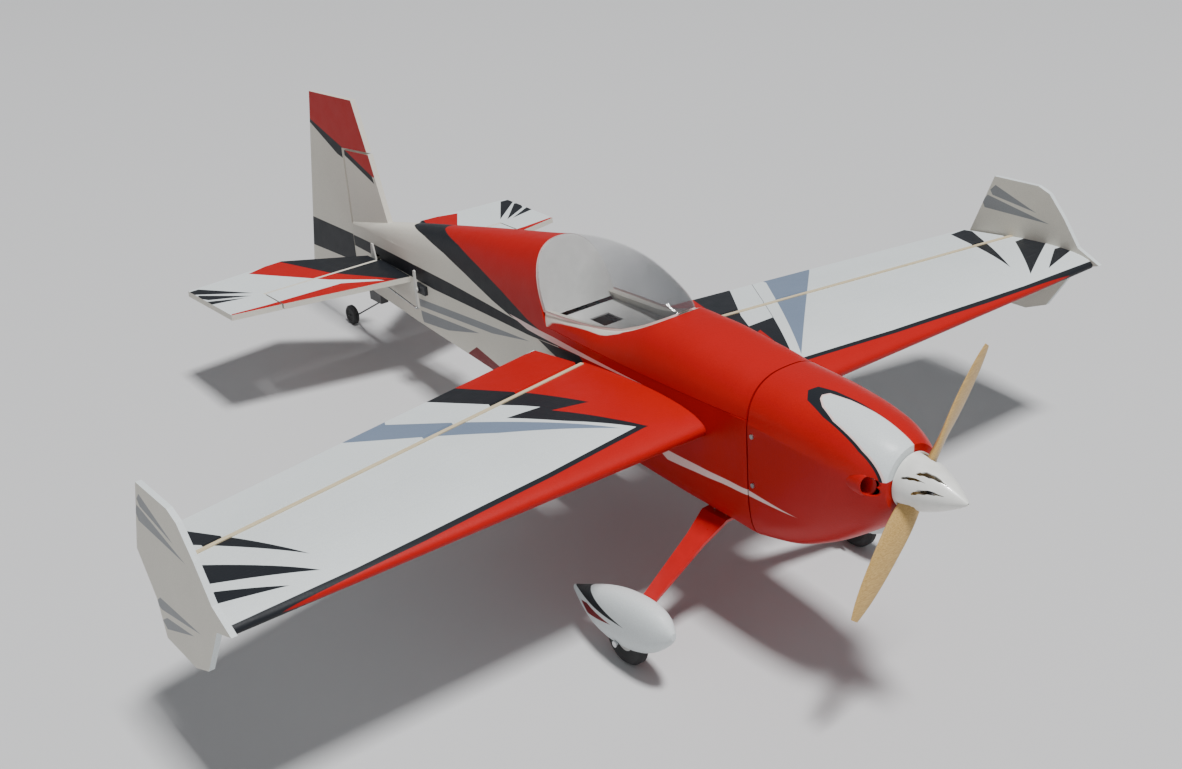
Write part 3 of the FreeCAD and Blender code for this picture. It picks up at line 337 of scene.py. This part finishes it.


# --- printed designs and one painted shade, in level millimetres ---------------------------------

# Each design is a list of outlines. Those of the wing, tail and cowl are seen from above, and
# those of the body, fin, rudder, tip plates and wheel pants from the side.

ROOT_BLACK = {
    "right": [[(0, 115.5), (167.6, 141.7), (180, 166), (192, 186), (234.5, 269.7), (245, 292),
               (0, 300)],
              [(0, -5), (92, -5), (124.2, 33.4), (173.7, 95.3), (208.2, 149), (0, 116.7)]],
    "left": [[(0, 120), (132.1, 139.5), (153.9, 177.8), (217.7, 267), (232, 290), (0, 300)],
             [(0, -5), (78, -5), (99.5, 30), (141.6, 94.1), (173.8, 143.1), (132, 142),
              (0, 122)]],
}
ROOT_RED = {
    "right": [[(0, 60), (126.4, 110), (152, 185), (185, 262), (198, 292), (0, 300)],
              [(0, -5), (86, -5), (117.1, 32.9), (134.2, 62.5), (165.5, 125.2), (0, 65)]],
    "left": [[(0, 60), (104, 106), (130, 185), (160, 262), (172, 292), (0, 300)],
             [(0, -5), (66, -5), (95, 33), (112, 62), (133.3, 122.4), (0, 70)]],
}
SLATE_WEDGE = {
    "right": [[(298.9, 251.9), (294, 262), (360, 262), (351.6, 247), (236, 124), (141.7, 43.8)]],
    "left": [[(270.4, 256.1), (272, 266), (350, 262), (338.7, 247.3), (121.9, 43.9)]],
}
LEADING_BLACK = stripe([(95, 33), (124, 30.5), (248, 18), (400, 8), (470, 4), (600, 0.5)], 3.6)
LEADING_RED = [[(0, -9), (0, 34), (120, 28), (248, 15.5), (250, -9)],
               [(244, -9), (244, 15.8), (400, 5.4), (402, -9)],
               [(398, -9), (398, 5.5), (602, -2.4), (602, -9)]]
TIP_WEDGES = [[(497, 52.5), (565, 203), (592, 203), (592, 190)],
              [(501, 23), (580, 108), (600, 108), (600, 75)],
              [(534, 20), (588, 52), (600, 50), (600, 36)]]
WING_CREASES = [(("X", "y"), stripe([(150, 53), (290, 56), (597, 59.5)], 1.6)),
                (("X", "y"), stripe([(200, 118), (597, 96)], 1.4))]

BAND_ONE_BLACK = [[(300, 21.5), (374.4, 18.3), (420, 24.7), (492.8, 39.9), (547.9, 50.1),
                   (611, 57.4), (658, 59.5), (720, 62), (720, 150), (300, 150)]]
BAND_ONE_RED = [[(-80, 150), (-80, -150), (262, -150), (300, -96), (212, -20), (234, 8),
                 (311, 24.5), (331, 27.6), (395.8, 45.7), (455, 59.6), (513.7, 70.5),
                 (572.3, 75.8), (660, 78), (660, 150)]]
BAND_TWO = [[(213, 20), (315.7, 18), (403.4, 15.7), (536.4, 12.8), (647.1, 8.1), (900, 0),
             (900, -15), (591, -11), (334, 7)]]
SIDE_LINE = [[(374, 20), (334, 14), (105, 20), (272, 23)]]
# Painted shade, not print: black on the body's side below the pale side line, where shade falls by
# the wing root.
ROOT_PAINTED_SHADE = [[(307, 9), (220, 17), (200, 0), (230, -12), (259.6, -3.4)]]
GREY_ONE = [[(336, -2), (640, -40), (640, -51), (429, -23)]]
GREY_TWO = [[(470, -36), (640, -58), (640, -76), (560, -62)]]
BELLY_RED = [[(300, -84), (480, -60), (560, -110), (300, -130)]]
PINSTRIPE = [[(88, -46), (66, -58), (-20, -54), (-119, -53.4), (-60, -48)]]

FIN_RED = [[(760, 104), (838, 131), (838, 150), (720, 150)]]
RUDDER_RED = [[(690, 118), (757, 106), (838, 131.5), (934, 160), (960, 215), (760, 215)]]
RUDDER_BLACK = [[(757, 98), (757, 106), (838, 131.5), (934, 160), (936, 155), (860, 120)],
                [(780, 1), (1000, -0.5), (1000, -49), (853, -43), (780, -16)]]
FIN_BLACK = [[(760, 95), (838, 122), (838, 131), (765, 106)]]
TAIL_BLACK = [[(0, 640), (50, 668), (96, 758), (128, 843), (125, 870), (0, 870)]]
TAIL_RED = [[(36, 661), (106, 735), (176, 843), (124, 860), (92, 757)],
            [(34, 659), (30, 645), (270, 700), (262, 717), (212, 712), (101, 709)]]
TAIL_WEDGES = [[(207, 770), (255, 839), (275, 838), (272, 828)],
               [(214, 761), (264, 815), (272, 812), (262, 790)],
               [(224, 760), (268, 786), (272, 782), (267, 771)]]
PLATE_WEDGES = [[(94, 51), (158, 74), (166, 66), (162, 60)],
                [(73, 40), (170, 58), (178, 48), (174, 40)],
                [(71, -33), (160, -38), (176, -50), (162, -52)],
                [(89, -45), (152, -57), (166, -66), (158, -72)]]
PANT_BLACK = [[(-8, -178), (60, -168), (110, -170), (110, -181)]]
PANT_RED = [[(13, -185), (60, -184), (75, -189), (60, -196)]]

EYE_BLACK = [[(-20, -109), (-9, -112), (-3, -130), (0, -160), (2, -235), (-38, -235),
              (-40, -195), (-36, -145), (-30, -118)]]
EYE_WHITE = [[(-17, -127), (-11, -130), (-5, -152), (-1.4, -179), (1, -235), (-35, -235),
              (-36.5, -198), (-33, -158), (-27, -138), (-21, -129)]]
EYE_RIM = [[(-17, -125), (-10, -128.5), (-4, -151), (-0.2, -179), (2.4, -235), (-36.4, -235),
            (-38, -198), (-34.6, -157), (-28.3, -136.5), (-22, -127.4)]]
# The teardrop panel is on the cowl's top, and doesn't show through on its underside.
TOP_ONLY = ("z", 18, 100)
# Across and up inside the hatch deck's walls, for its pale cockpit lining, and its length.
LINING = [[(0, 30), (54.5, 30), (53, 42), (51, 50), (47.5, 60), (41.5, 70), (31, 80), (0, 90)]]
LINING_LENGTH = ("y", 100, 300)


def wing_paint(side):
    """One wing panel and its aileron: white over red, with black and slate wedges."""
    return painted_foam("wing_paint_" + side, WHITE, [
        (SLATE, ("X", "y"), SLATE_WEDGE[side]),
        (BLACK, ("X", "y"), LEADING_BLACK),
        (BLACK, ("X", "y"), ROOT_BLACK[side]),
        (RED, ("X", "y"), ROOT_RED[side]),
        (RED, ("X", "y"), LEADING_RED),
        (BLACK, ("X", "y"), TIP_WEDGES)], grooves=WING_CREASES)


def hull_paint():
    """The fuselage: red ahead and above, cream behind, sweeping bands, black painted shade."""
    return painted_foam("hull_paint", CREAM, [
        (BLACK, ("y", "z"), BAND_ONE_BLACK),
        (RED, ("y", "z"), BAND_ONE_RED),
        (GREY, ("y", "z"), GREY_ONE + GREY_TWO),
        # The second outline in this layer is black painted shade by the wing root, not a printed
        # band.
        (BLACK, ("y", "z"), BAND_TWO + ROOT_PAINTED_SHADE),
        (DARK_RED, ("y", "z"), BELLY_RED),
        (PALE_PINK, ("y", "z"), SIDE_LINE + PINSTRIPE)], roughness=0.48)


def deck_paint():
    """The hatch deck: red outside, pale inside the cockpit."""
    return painted_foam("deck_paint", RED, [(CREAM, ("X", "z"), LINING, LINING_LENGTH)])


def cowl_paint():
    """The moulded cowl: glossier, with a teardrop panel beside the top's middle and a pinstripe."""
    material = painted_foam("cowl_paint", RED, [
        (BLACK, ("x", "y"), EYE_BLACK, TOP_ONLY),
        (PALE_PINK, ("x", "y"), EYE_RIM, TOP_ONLY),
        (WHITE, ("x", "y"), EYE_WHITE, TOP_ONLY),
        (PALE_PINK, ("y", "z"), PINSTRIPE)], roughness=0.38)
    shader = material.node_tree.nodes["Principled BSDF"]
    shader.inputs["Coat Weight"].default_value = 0.10
    shader.inputs["Coat Roughness"].default_value = 0.25
    shader.inputs["Specular IOR Level"].default_value = 0.18
    return material


def tail_paint():
    """The stabiliser and elevators, printed above and below."""
    return painted_foam("tail_paint", WHITE, [
        (BLACK, ("X", "y"), TAIL_BLACK),
        (RED, ("X", "y"), TAIL_RED),
        (BLACK, ("X", "y"), TAIL_WEDGES)], face="Z")


def fin_paint():
    """The fin: cream with a red top."""
    return painted_foam("fin_paint", CREAM, [
        (BLACK, ("y", "z"), FIN_BLACK),
        (RED, ("y", "z"), FIN_RED)], face="X")


def rudder_paint():
    """The rudder, whose bands carry on from the fin's and the body's."""
    return painted_foam("rudder_paint", CREAM, [
        (BLACK, ("y", "z"), RUDDER_BLACK),
        (RED, ("y", "z"), RUDDER_RED)], face="X")


def plate_paint():
    """The wing tip plates: cream with grey wedges and white cut edges."""
    return painted_foam("plate_paint", CREAM, [
        (GREY, ("y", "z"), PLATE_WEDGES)], face="X", edge=WHITE)


def pant_paint():
    """The wheel pants: white with a black and dark red flash."""
    return painted_foam("pant_paint", WHITE, [
        (BLACK, ("y", "z"), PANT_BLACK),
        (DARK_RED, ("y", "z"), PANT_RED)], roughness=0.38)


# --- plain finishes ------------------------------------------------------------------------------

# Changes of tone as (scale, darkest, lightest) and of gloss as (scale, glossier by, duller by).
PLAIN_MOTTLE = (90.0, 0.88, 1.12)
PLAIN_GLOSS = (240.0, 0.06, 0.08)
RELIEF_DISTANCE = 0.0002


def simple(name, colour, roughness, metallic=0.0, grain=700.0, depth=0.1, coat=0.0):
    """A moulded or machined finish with small changes of tone, gloss and relief."""
    material, tree, shader = new_material(name)
    vector = level_axes(tree)["object"]
    tone = mottled(tree, vector, PLAIN_MOTTLE, 3.0)
    tree.links.new(shaded(tree, colour, tone), shader.inputs["Base Color"])
    scale, glossier, duller = PLAIN_GLOSS
    gloss = noise(tree, vector, scale, detail=3.0)
    tree.links.new(uneven_gloss(tree, gloss, roughness, glossier, duller),
                   shader.inputs["Roughness"])
    shader.inputs["Metallic"].default_value = metallic
    shader.inputs["Coat Weight"].default_value = coat
    bump(tree, shader, noise(tree, vector, grain, detail=3.0), depth, RELIEF_DISTANCE)
    return material


def leg_enamel():
    return simple("leg_enamel", (0.52, 0.012, 0.012), 0.3, coat=0.5)


def spinner_shell():
    return simple("spinner_shell", (0.80, 0.80, 0.76), 0.3, coat=0.3)


def cockpit_tray():
    return simple("cockpit_tray", (0.72, 0.72, 0.70), 0.5)


def bright_steel():
    return simple("bright_steel", (0.55, 0.56, 0.57), 0.28, metallic=1.0)


def anodised_can():
    return simple("anodised_can", (0.10, 0.10, 0.11), 0.32, metallic=0.9)


def tail_spring():
    return simple("tail_spring", (0.035, 0.035, 0.038), 0.4)


def servo_case():
    return simple("servo_case", (0.02, 0.022, 0.026), 0.42)


def moulded_fitting():
    return simple("moulded_fitting", (0.70, 0.69, 0.64), 0.42)


def servo_arm_nylon():
    return simple("servo_arm_nylon", (0.62, 0.61, 0.57), 0.44)


def battery_wrap():
    return simple("battery_wrap", (0.05, 0.09, 0.22), 0.35, coat=0.3)


def hub_nylon():
    return simple("hub_nylon", (0.55, 0.55, 0.53), 0.4)


def carbon():
    """A pultruded carbon tube: black, with a fine grain in its relief."""
    return simple("carbon_tube", (0.018, 0.018, 0.020), 0.32, grain=2500.0, coat=0.4)


# Wood: how far the grain is drawn out along the piece, its streaks and fine pores, and how
# sharply the dark wood gives way to the light.
GRAIN_STRETCH = (0.008, 0.45, 0.45)
STREAK_SCALE = 3.0
STREAK_CONTRAST = 2.6
STREAK_START = -0.8
PORE_SCALE = 11.0
PORE_TONES = (0.88, 1.12)
PORE_GLOSSIER = 0.08
PORE_DULLER = 0.1
PORE_STRENGTH = 0.15
WOOD_ROUGHNESS = 0.42


def wood(name, light, dark, lean=0.0, coat=0.0):
    """Close-grained wood with its streaks across the model, leaning by an angle in degrees."""
    material, tree, shader = new_material(name)
    axes = level_axes(tree)
    mapping = tree.nodes.new("ShaderNodeMapping")
    mapping.inputs["Rotation"].default_value = (0.0, math.radians(lean), 0.0)
    mapping.inputs["Scale"].default_value = GRAIN_STRETCH
    tree.links.new(axes["level"], mapping.inputs["Vector"])
    drawn_out = mapping.outputs["Vector"]
    streaks = noise(tree, drawn_out, STREAK_SCALE, detail=6.0)
    pores = noise(tree, drawn_out, PORE_SCALE, detail=4.0)
    mask = math_node(tree, "MULTIPLY_ADD", streaks, STREAK_CONTRAST, STREAK_START, clamp=True)
    colour = over(tree, mask, dark, light)
    tree.links.new(shaded(tree, colour, spread(tree, pores, *PORE_TONES)),
                   shader.inputs["Base Color"])
    tree.links.new(uneven_gloss(tree, pores, WOOD_ROUGHNESS, PORE_GLOSSIER, PORE_DULLER),
                   shader.inputs["Roughness"])
    shader.inputs["Coat Weight"].default_value = coat
    bump(tree, shader, pores, PORE_STRENGTH, RELIEF_DISTANCE)
    return material


def propeller_beech():
    """Varnished beech with its grain along the blades."""
    return wood("propeller_beech", (0.64, 0.42, 0.15), (0.44, 0.26, 0.075), lean=-52.4, coat=0.25)


def spruce_strip():
    return wood("spruce_strip", (0.72, 0.62, 0.43), (0.58, 0.47, 0.28))


def birch_ply():
    return wood("birch_ply", (0.62, 0.48, 0.30), (0.46, 0.33, 0.18))


# The canopy sheet's trimmed lower and rear edges, in level (Y, Z).
CANOPY_FOOT = stripe([(96, 88.5), (128, 72.5), (160, 60.5), (200, 54), (250, 50.5), (300, 48)],
                     1.5)
CANOPY_BACK = stripe([(292, 40), (345, 170)], 2.4)
# How much of the view the tint covers at the front and at the rear, and where it fades between.
FRONT_COVER = 0.40
REAR_COVER = 0.12
COVER_FADE = (150.0, 235.0)
SHEET_TINT = (0.075, 0.082, 0.092)
SHEET_HAZE_SCALE = 35.0
SHEET_HAZE_TONES = (0.8, 1.2)
SHEET_ROUGHNESS = (0.03, 0.08)
RIM_DULLNESS = 0.4
SHEET_IOR = 1.45


def smoked_clear():
    """The canopy's thin smoked sheet, with its pale trimmed rim."""
    material, tree, shader = new_material("canopy_sheet")
    axes = level_axes(tree)
    haze = noise(tree, axes["object"], SHEET_HAZE_SCALE, detail=3.0)
    rim = region(tree, axes["y"], axes["z"], CANOPY_FOOT + CANOPY_BACK)
    tint = shaded(tree, SHEET_TINT, spread(tree, haze, *SHEET_HAZE_TONES))
    tree.links.new(over(tree, rim, tint, PALE_PINK), shader.inputs["Base Color"])
    polish = spread(tree, haze, *SHEET_ROUGHNESS)
    tree.links.new(math_node(tree, "MULTIPLY_ADD", rim, RIM_DULLNESS, polish),
                   shader.inputs["Roughness"])
    shader.inputs["IOR"].default_value = SHEET_IOR
    start, end = COVER_FADE
    fade = math_node(tree, "MULTIPLY_ADD", axes["y"], 1 / (end - start), -start / (end - start),
                     clamp=True)
    cover = spread(tree, fade, FRONT_COVER, REAR_COVER)
    tree.links.new(math_node(tree, "MAXIMUM", cover, rim), shader.inputs["Alpha"])
    return material


RUBBER_COLOUR = (0.022, 0.022, 0.023)
SCUFF_SCALE = 420.0
SCUFF_TONES = (0.7, 1.6)
SCUFF_ROUGHNESS = (0.62, 0.88)
RUBBER_GRAIN_SCALE = 1800.0
RUBBER_GRAIN_STRENGTH = 0.3


def rubber():
    """Tyre rubber: dull, faintly scuffed."""
    material, tree, shader = new_material("tyre_rubber")
    vector = level_axes(tree)["object"]
    scuff = noise(tree, vector, SCUFF_SCALE, detail=4.0)
    tree.links.new(shaded(tree, RUBBER_COLOUR, spread(tree, scuff, *SCUFF_TONES)),
                   shader.inputs["Base Color"])
    tree.links.new(spread(tree, scuff, *SCUFF_ROUGHNESS), shader.inputs["Roughness"])
    bump(tree, shader, noise(tree, vector, RUBBER_GRAIN_SCALE), RUBBER_GRAIN_STRENGTH,
         RELIEF_DISTANCE)
    return material


# --- materials onto the CAD nodes ----------------------------------------------------------------


def dress(nodes, material):
    """Gives CAD nodes or made pieces one material."""
    for name in nodes:
        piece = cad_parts.get(name) if isinstance(name, str) else name
        piece.data.materials.clear()
        piece.data.materials.append(material)


def both(name):
    """The names of a pair of nodes, left and right."""
    return [name + "_left", name + "_right"]


DRESSING = [
    (["fuselage"], hull_paint),
    (["hatch_deck"], deck_paint),
    (["cowl"], cowl_paint),
    (["stabiliser"] + both("elevator"), tail_paint),
    (["fin"], fin_paint),
    (["rudder"], rudder_paint),
    (both("tip_plate"), plate_paint),
    (both("wheel_pant"), pant_paint),
    (both("gear_leg"), leg_enamel),
    (["spinner_cone", "spinner_backplate"], spinner_shell),
    (["cockpit_floor", "cockpit_bulkhead"], cockpit_tray),
    (["canopy"], smoked_clear),
    (["propeller"], propeller_beech),
    (["hinge_strips"], spruce_strip),
    (["motor_box", "nose_former"], birch_ply),
    (["wing_tube", "elevator_joiner"], carbon),
    (["axles", "gear_screws", "cowl_screws", "elevator_pushrod", "rudder_pushrod"]
     + both("aileron_pushrod"), bright_steel),
    (["motor_bell", "motor_stator", "prop_adapter"], anodised_can),
    (["tail_bracket", "tail_strut"], tail_spring),
    (["aileron_servos", "elevator_servo", "rudder_servo", "speed_controller", "receiver"],
     servo_case),
    (both("aileron_horn") + ["elevator_horn", "rudder_horn"], moulded_fitting),
    (both("aileron_servo_arm") + ["elevator_servo_arm", "rudder_servo_arm"], servo_arm_nylon),
    (["battery"], battery_wrap),
    (both("wheel_hub"), hub_nylon),
    (both("tyre") + ["tail_wheel"], rubber),
]


def dress_all():
    """Puts every CAD node in its own material."""
    for side in ("left", "right"):
        dress(["wing_" + side, "aileron_" + side], wing_paint(side))
    for nodes, material in DRESSING:
        dress(nodes, material())


SOFT_EDGE = 0.0007
SOFT_EDGE_ANGLE = math.radians(50)


def soften_edges(nodes):
    """Rounds the hard corners of moulded plates a little, so that they catch the light."""
    for name in nodes:
        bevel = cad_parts[name].modifiers.new("soft_edges", "BEVEL")
        bevel.width = SOFT_EDGE
        bevel.segments = 2
        bevel.limit_method = "ANGLE"
        bevel.angle_limit = SOFT_EDGE_ANGLE


dress_all()
soften_edges(["stabiliser", "fin", "rudder"] + both("elevator") + both("tip_plate"))

# --- made pieces ---------------------------------------------------------------------------------

# The spinner, in level millimetres about the thrust line.
THRUST_LEVEL = 9.0
SPINNER_BASE = -227.0
SPINNER_TIP = -293.9
SPINNER_RADIUS = 28.8
SPINNER_TIP_RADIUS = 1.3
SPINNER_WALL = 1.6
SPINNER_BACK = 2.0
SPINNER_BORE = 3.0
SPINNER_RINGS = 26
SPINNER_SEGMENTS = 96
SPINNER_BORE_TIP = 0.4
OGIVE_SWELL = 1.6
OGIVE_POINT = 0.95
# The blade openings: degrees round from the top, degrees to each side, rear and front ends, and
# the cut at each front corner in degrees and millimetres.
BLADE_ANGLE = 37.6
BLADE_OPENING = 25.0
BLADE_OPENING_ENDS = (-229.5, -248.0)
BLADE_OPENING_CORNER = (5.0, 4.0)
CUTTER_RADII = (9.0, 48.0)
# Cooling slots: (degrees round from the top, place along) at the rear end and at the pointed
# front end, the bow between them in degrees, and a scale on its width. They repeat half a turn on.
SPINNER_SLOTS = [((-41, -245.5), (-22.5, -275), 5.5, 1.0),
                 ((-61, -234), (-50, -257), 2.0, 0.62),
                 ((-87, -246.5), (-66, -275.5), 4.5, 1.0)]
# A slot's half width in millimetres at shares of its length.
SLOT_SHAPE = ((0.0, 1.1), (0.12, 1.9), (0.4, 2.5), (0.7, 1.8), (1.0, 0.15))

# The moulded lips round the cowl's two cooling inlets: (radius, along) round the lip's wall, and
# where the lips stand. They are taller than they are wide, and lean back away from the spinner.
LIP_PROFILE = [(8.0, -180), (8.0, -206.5), (7.6, -208.6), (6.7, -209.8), (5.8, -209.5),
               (5.2, -208), (5.2, -180)]
LIP_STATION = 42.5
LIP_LEVEL = 11.5
LIP_TALLER = 3.8
LIP_LEAN = 0.7
LIP_SEGMENTS = 64
SHARP_ANGLE = math.radians(38)


def made_piece(name, mesh, body, slot, *nodes):
    """A finished mesh, laid out in level millimetres, put in place on its body."""
    mesh.transform(STANCE)
    piece = bpy.data.objects.new(name, mesh)
    bpy.context.collection.objects.link(piece)
    for polygon in mesh.polygons:
        polygon.use_smooth = True
    mesh.set_sharp_from_angle(angle=SHARP_ANGLE)
    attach(piece, body)
    if nodes:
        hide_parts(*nodes)
    return piece


def add_lathe(shape, profile, segments, station=0.0, level=THRUST_LEVEL, taller=0.0, lean=0.0):
    """Turns a closed loop of (radius, along) points about a fore and aft line.

    taller stretches the rings upwards by that many millimetres, and lean slides them forwards
    or back across their width.
    """
    rings = []
    for radius, along in profile:
        ring = []
        for index in range(segments):
            angle = 2 * math.pi * index / segments
            across = radius * math.sin(angle)
            ring.append(shape.verts.new((station + across, along + lean * across,
                                         level + (radius + taller) * math.cos(angle))))
        rings.append(ring)
    for first, second in zip(rings, rings[1:] + rings[:1]):
        for index in range(segments):
            after = (index + 1) % segments
            shape.faces.new((first[index], first[after], second[after], second[index]))


def as_mesh(shape, name):
    """A mesh from a finished bmesh."""
    bmesh.ops.recalc_face_normals(shape, faces=shape.faces)
    mesh = bpy.data.meshes.new(name)
    shape.to_mesh(mesh)
    shape.free()
    return mesh


def scratch_object(shape, name):
    """A temporary object from a bmesh, for cutting."""
    piece = bpy.data.objects.new(name, as_mesh(shape, name))
    bpy.context.collection.objects.link(piece)
    return piece


def radial_cutter(first_side, second_side, name):
    """A wedge through the spinner's wall between two sides of (degrees, along) points."""
    shape = bmesh.new()
    layers = []
    for radius in CUTTER_RADII:
        for side in (first_side, second_side):
            corners = []
            for degrees, along in side:
                angle = math.radians(degrees)
                corners.append(shape.verts.new((radius * math.sin(angle), along,
                                                THRUST_LEVEL + radius * math.cos(angle))))
            layers.append(corners)
    inner_one, inner_two, outer_one, outer_two = layers
    for a, b in ((inner_one, inner_two), (outer_one, outer_two), (inner_one, outer_one),
                 (inner_two, outer_two)):
        for index in range(len(a) - 1):
            shape.faces.new((a[index], a[index + 1], b[index + 1], b[index]))
    for end in (0, -1):
        shape.faces.new((inner_one[end], inner_two[end], outer_two[end], outer_one[end]))
    return scratch_object(shape, name)


def cut_with(base, cutters):
    """The base mesh less all the cutters, as a new mesh; the scratch objects are removed."""
    for cutter in cutters:
        modifier = base.modifiers.new("cut", "BOOLEAN")
        modifier.object = cutter
        modifier.operation = "DIFFERENCE"
        modifier.solver = "EXACT"
    graph = bpy.context.evaluated_depsgraph_get()
    mesh = bpy.data.meshes.new_from_object(base.evaluated_get(graph))
    for scratch in [base, *cutters]:
        bpy.data.objects.remove(scratch)
    return mesh


def nose_radius(share, radius, tip_radius):
    """The spinner's radius at a share of its length from base to tip."""
    return radius * (1 - share ** OGIVE_SWELL) ** OGIVE_POINT + tip_radius * share


def spinner_profile():
    """(radius, along) round the wall: base to tip outside, back inside, and the back plate."""
    length = SPINNER_BASE - SPINNER_TIP
    front_of_back = SPINNER_BASE - SPINNER_BACK
    inner_length = length - SPINNER_BACK - 3 * SPINNER_WALL
    outside = []
    inside = []
    for step in range(SPINNER_RINGS + 1):
        share = step / SPINNER_RINGS
        outside.append((nose_radius(share, SPINNER_RADIUS, SPINNER_TIP_RADIUS),
                        SPINNER_BASE - length * share))
        inside.append((nose_radius(share, SPINNER_RADIUS - SPINNER_WALL, SPINNER_BORE_TIP),
                       front_of_back - inner_length * share))
    return outside + inside[::-1] + [(SPINNER_BORE, front_of_back), (SPINNER_BORE, SPINNER_BASE)]


def slot_sides(rear, front, bow, width, turn):
    """The two long sides of one cooling slot as (degrees, along) points."""
    sides = ([], [])
    for share, half_width in SLOT_SHAPE:
        along = rear[1] + (front[1] - rear[1]) * share
        middle = rear[0] + (front[0] - rear[0]) * share + bow * 4 * share * (1 - share) + turn
        radius = nose_radius((SPINNER_BASE - along) / (SPINNER_BASE - SPINNER_TIP),
                             SPINNER_RADIUS, SPINNER_TIP_RADIUS)
        swing = math.degrees(width * half_width / radius)
        sides[0].append((middle - swing, along))
        sides[1].append((middle + swing, along))
    return sides


def opening_sides(turn):
    """The two sides of a blade's opening, with its front corners cut off."""
    rear, front = BLADE_OPENING_ENDS
    trim, run = BLADE_OPENING_CORNER
    sides = []
    for hand in (-1, 1):
        edge = BLADE_ANGLE + turn + hand * BLADE_OPENING
        sides.append([(edge, rear), (edge, front + run), (edge - hand * trim, front)])
    return sides


def make_spinner():
    """The slotted spinner nose with its two blade openings."""
    shape = bmesh.new()
    add_lathe(shape, spinner_profile(), SPINNER_SEGMENTS)
    base = scratch_object(shape, "spinner_blank")
    cutters = []
    for turn in (0, 180):
        cutters.append(radial_cutter(*opening_sides(turn), f"opening_{turn}"))
        for number, slot in enumerate(SPINNER_SLOTS):
            cutters.append(radial_cutter(*slot_sides(*slot, turn), f"slot_{number}_{turn}"))
    mesh = cut_with(base, cutters)
    piece = made_piece("spinner_nose", mesh, "propeller", "white_shell",
                       "spinner_cone", "spinner_backplate")
    dress([piece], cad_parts["spinner_cone"].data.materials[0])


def make_inlet_lips():
    """The rounded lips of the cowl's cooling inlets, one each side of the spinner."""
    shape = bmesh.new()
    for hand in (-1, 1):
        add_lathe(shape, LIP_PROFILE, LIP_SEGMENTS, station=hand * LIP_STATION,
                  level=LIP_LEVEL, taller=LIP_TALLER, lean=hand * LIP_LEAN)
    piece = made_piece("inlet_lips", as_mesh(shape, "inlet_lips"), "airframe", "cowl_red")
    dress([piece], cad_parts["cowl"].data.materials[0])


make_spinner()
make_inlet_lips()

# --- stage ---------------------------------------------------------------------------------------

# The camera's place in metres, its axes as the columns of a turn, and its lens in millimetres.
CAMERA_PLACE = Vector((-0.97284, -1.33597, 1.04185))
CAMERA_AXES = ((0.79039, 0.30387, -0.53193),
               (-0.61254, 0.37961, -0.69332),
               (-0.00875, 0.87382, 0.48617))
CAMERA_LENS = 45.77
CAMERA_SENSOR = 36.0
CAMERA_CLIP_END = 60.0

FLOOR_REACH = 14.0
FLOOR_COLOUR = (0.60, 0.60, 0.605)
FLOOR_MOTTLE = (0.7, 0.985, 1.015)
FLOOR_ROUGHNESS = 0.85
FLOOR_SPECULAR = 0.15

# Each light's place, the point it faces, its side in metres and its power in watts.
LIGHTS = {"key": ((0.0, -3.3, 12.4), (0.0, 0.0, 0.1), 1.95, 2115.0),
          "fill": ((-3.4, -0.6, 1.6), (0.0, 0.0, 0.2), 2.2, 9.0)}
SKY_COLOUR = (0.93, 0.96, 1.0, 1.0)
SKY_STRENGTH = 0.27


def add_camera():
    """The camera at the photograph's viewing angle."""
    camera = bpy.data.objects.new("camera", bpy.data.cameras.new("camera"))
    bpy.context.collection.objects.link(camera)
    camera.matrix_world = Matrix.Translation(CAMERA_PLACE) @ Matrix(CAMERA_AXES).to_4x4()
    camera.data.lens = CAMERA_LENS
    camera.data.sensor_width = CAMERA_SENSOR
    camera.data.sensor_fit = "HORIZONTAL"
    camera.data.clip_end = CAMERA_CLIP_END
    bpy.context.scene.camera = camera


def floor_paper():
    """Plain pale paper, very slightly uneven in tone."""
    material, tree, shader = new_material("floor_paper")
    tone = mottled(tree, level_axes(tree)["object"], FLOOR_MOTTLE, 2.0)
    tree.links.new(shaded(tree, FLOOR_COLOUR, tone), shader.inputs["Base Color"])
    shader.inputs["Roughness"].default_value = FLOOR_ROUGHNESS
    shader.inputs["Specular IOR Level"].default_value = FLOOR_SPECULAR
    return material


def add_floor():
    """A wide plain floor at the wheels' foot."""
    mesh = bpy.data.meshes.new("floor")
    corners = [(x * FLOOR_REACH, y * FLOOR_REACH, 0.0)
               for x, y in ((-1, -1), (1, -1), (1, 1), (-1, 1))]
    mesh.from_pydata(corners, [], [(0, 1, 2, 3)])
    mesh.materials.append(floor_paper())
    floor = bpy.data.objects.new("floor", mesh)
    bpy.context.collection.objects.link(floor)


def add_light(name, place, target, size, power):
    """A soft square studio light."""
    light = bpy.data.lights.new(name, "AREA")
    light.size = size
    light.energy = power
    lamp = bpy.data.objects.new(name, light)
    bpy.context.collection.objects.link(lamp)
    lamp.location = place
    lamp.rotation_euler = (Vector(target) - Vector(place)).to_track_quat("-Z", "Y").to_euler()


def add_world():
    """Plain even light from all round."""
    world = bpy.data.worlds.new("studio")
    bpy.context.scene.world = world
    world.use_nodes = True
    backdrop = world.node_tree.nodes["Background"]
    backdrop.inputs["Color"].default_value = SKY_COLOUR
    backdrop.inputs["Strength"].default_value = SKY_STRENGTH


add_camera()
add_floor()
for light_name, light_setting in LIGHTS.items():
    add_light(light_name, *light_setting)
add_world()
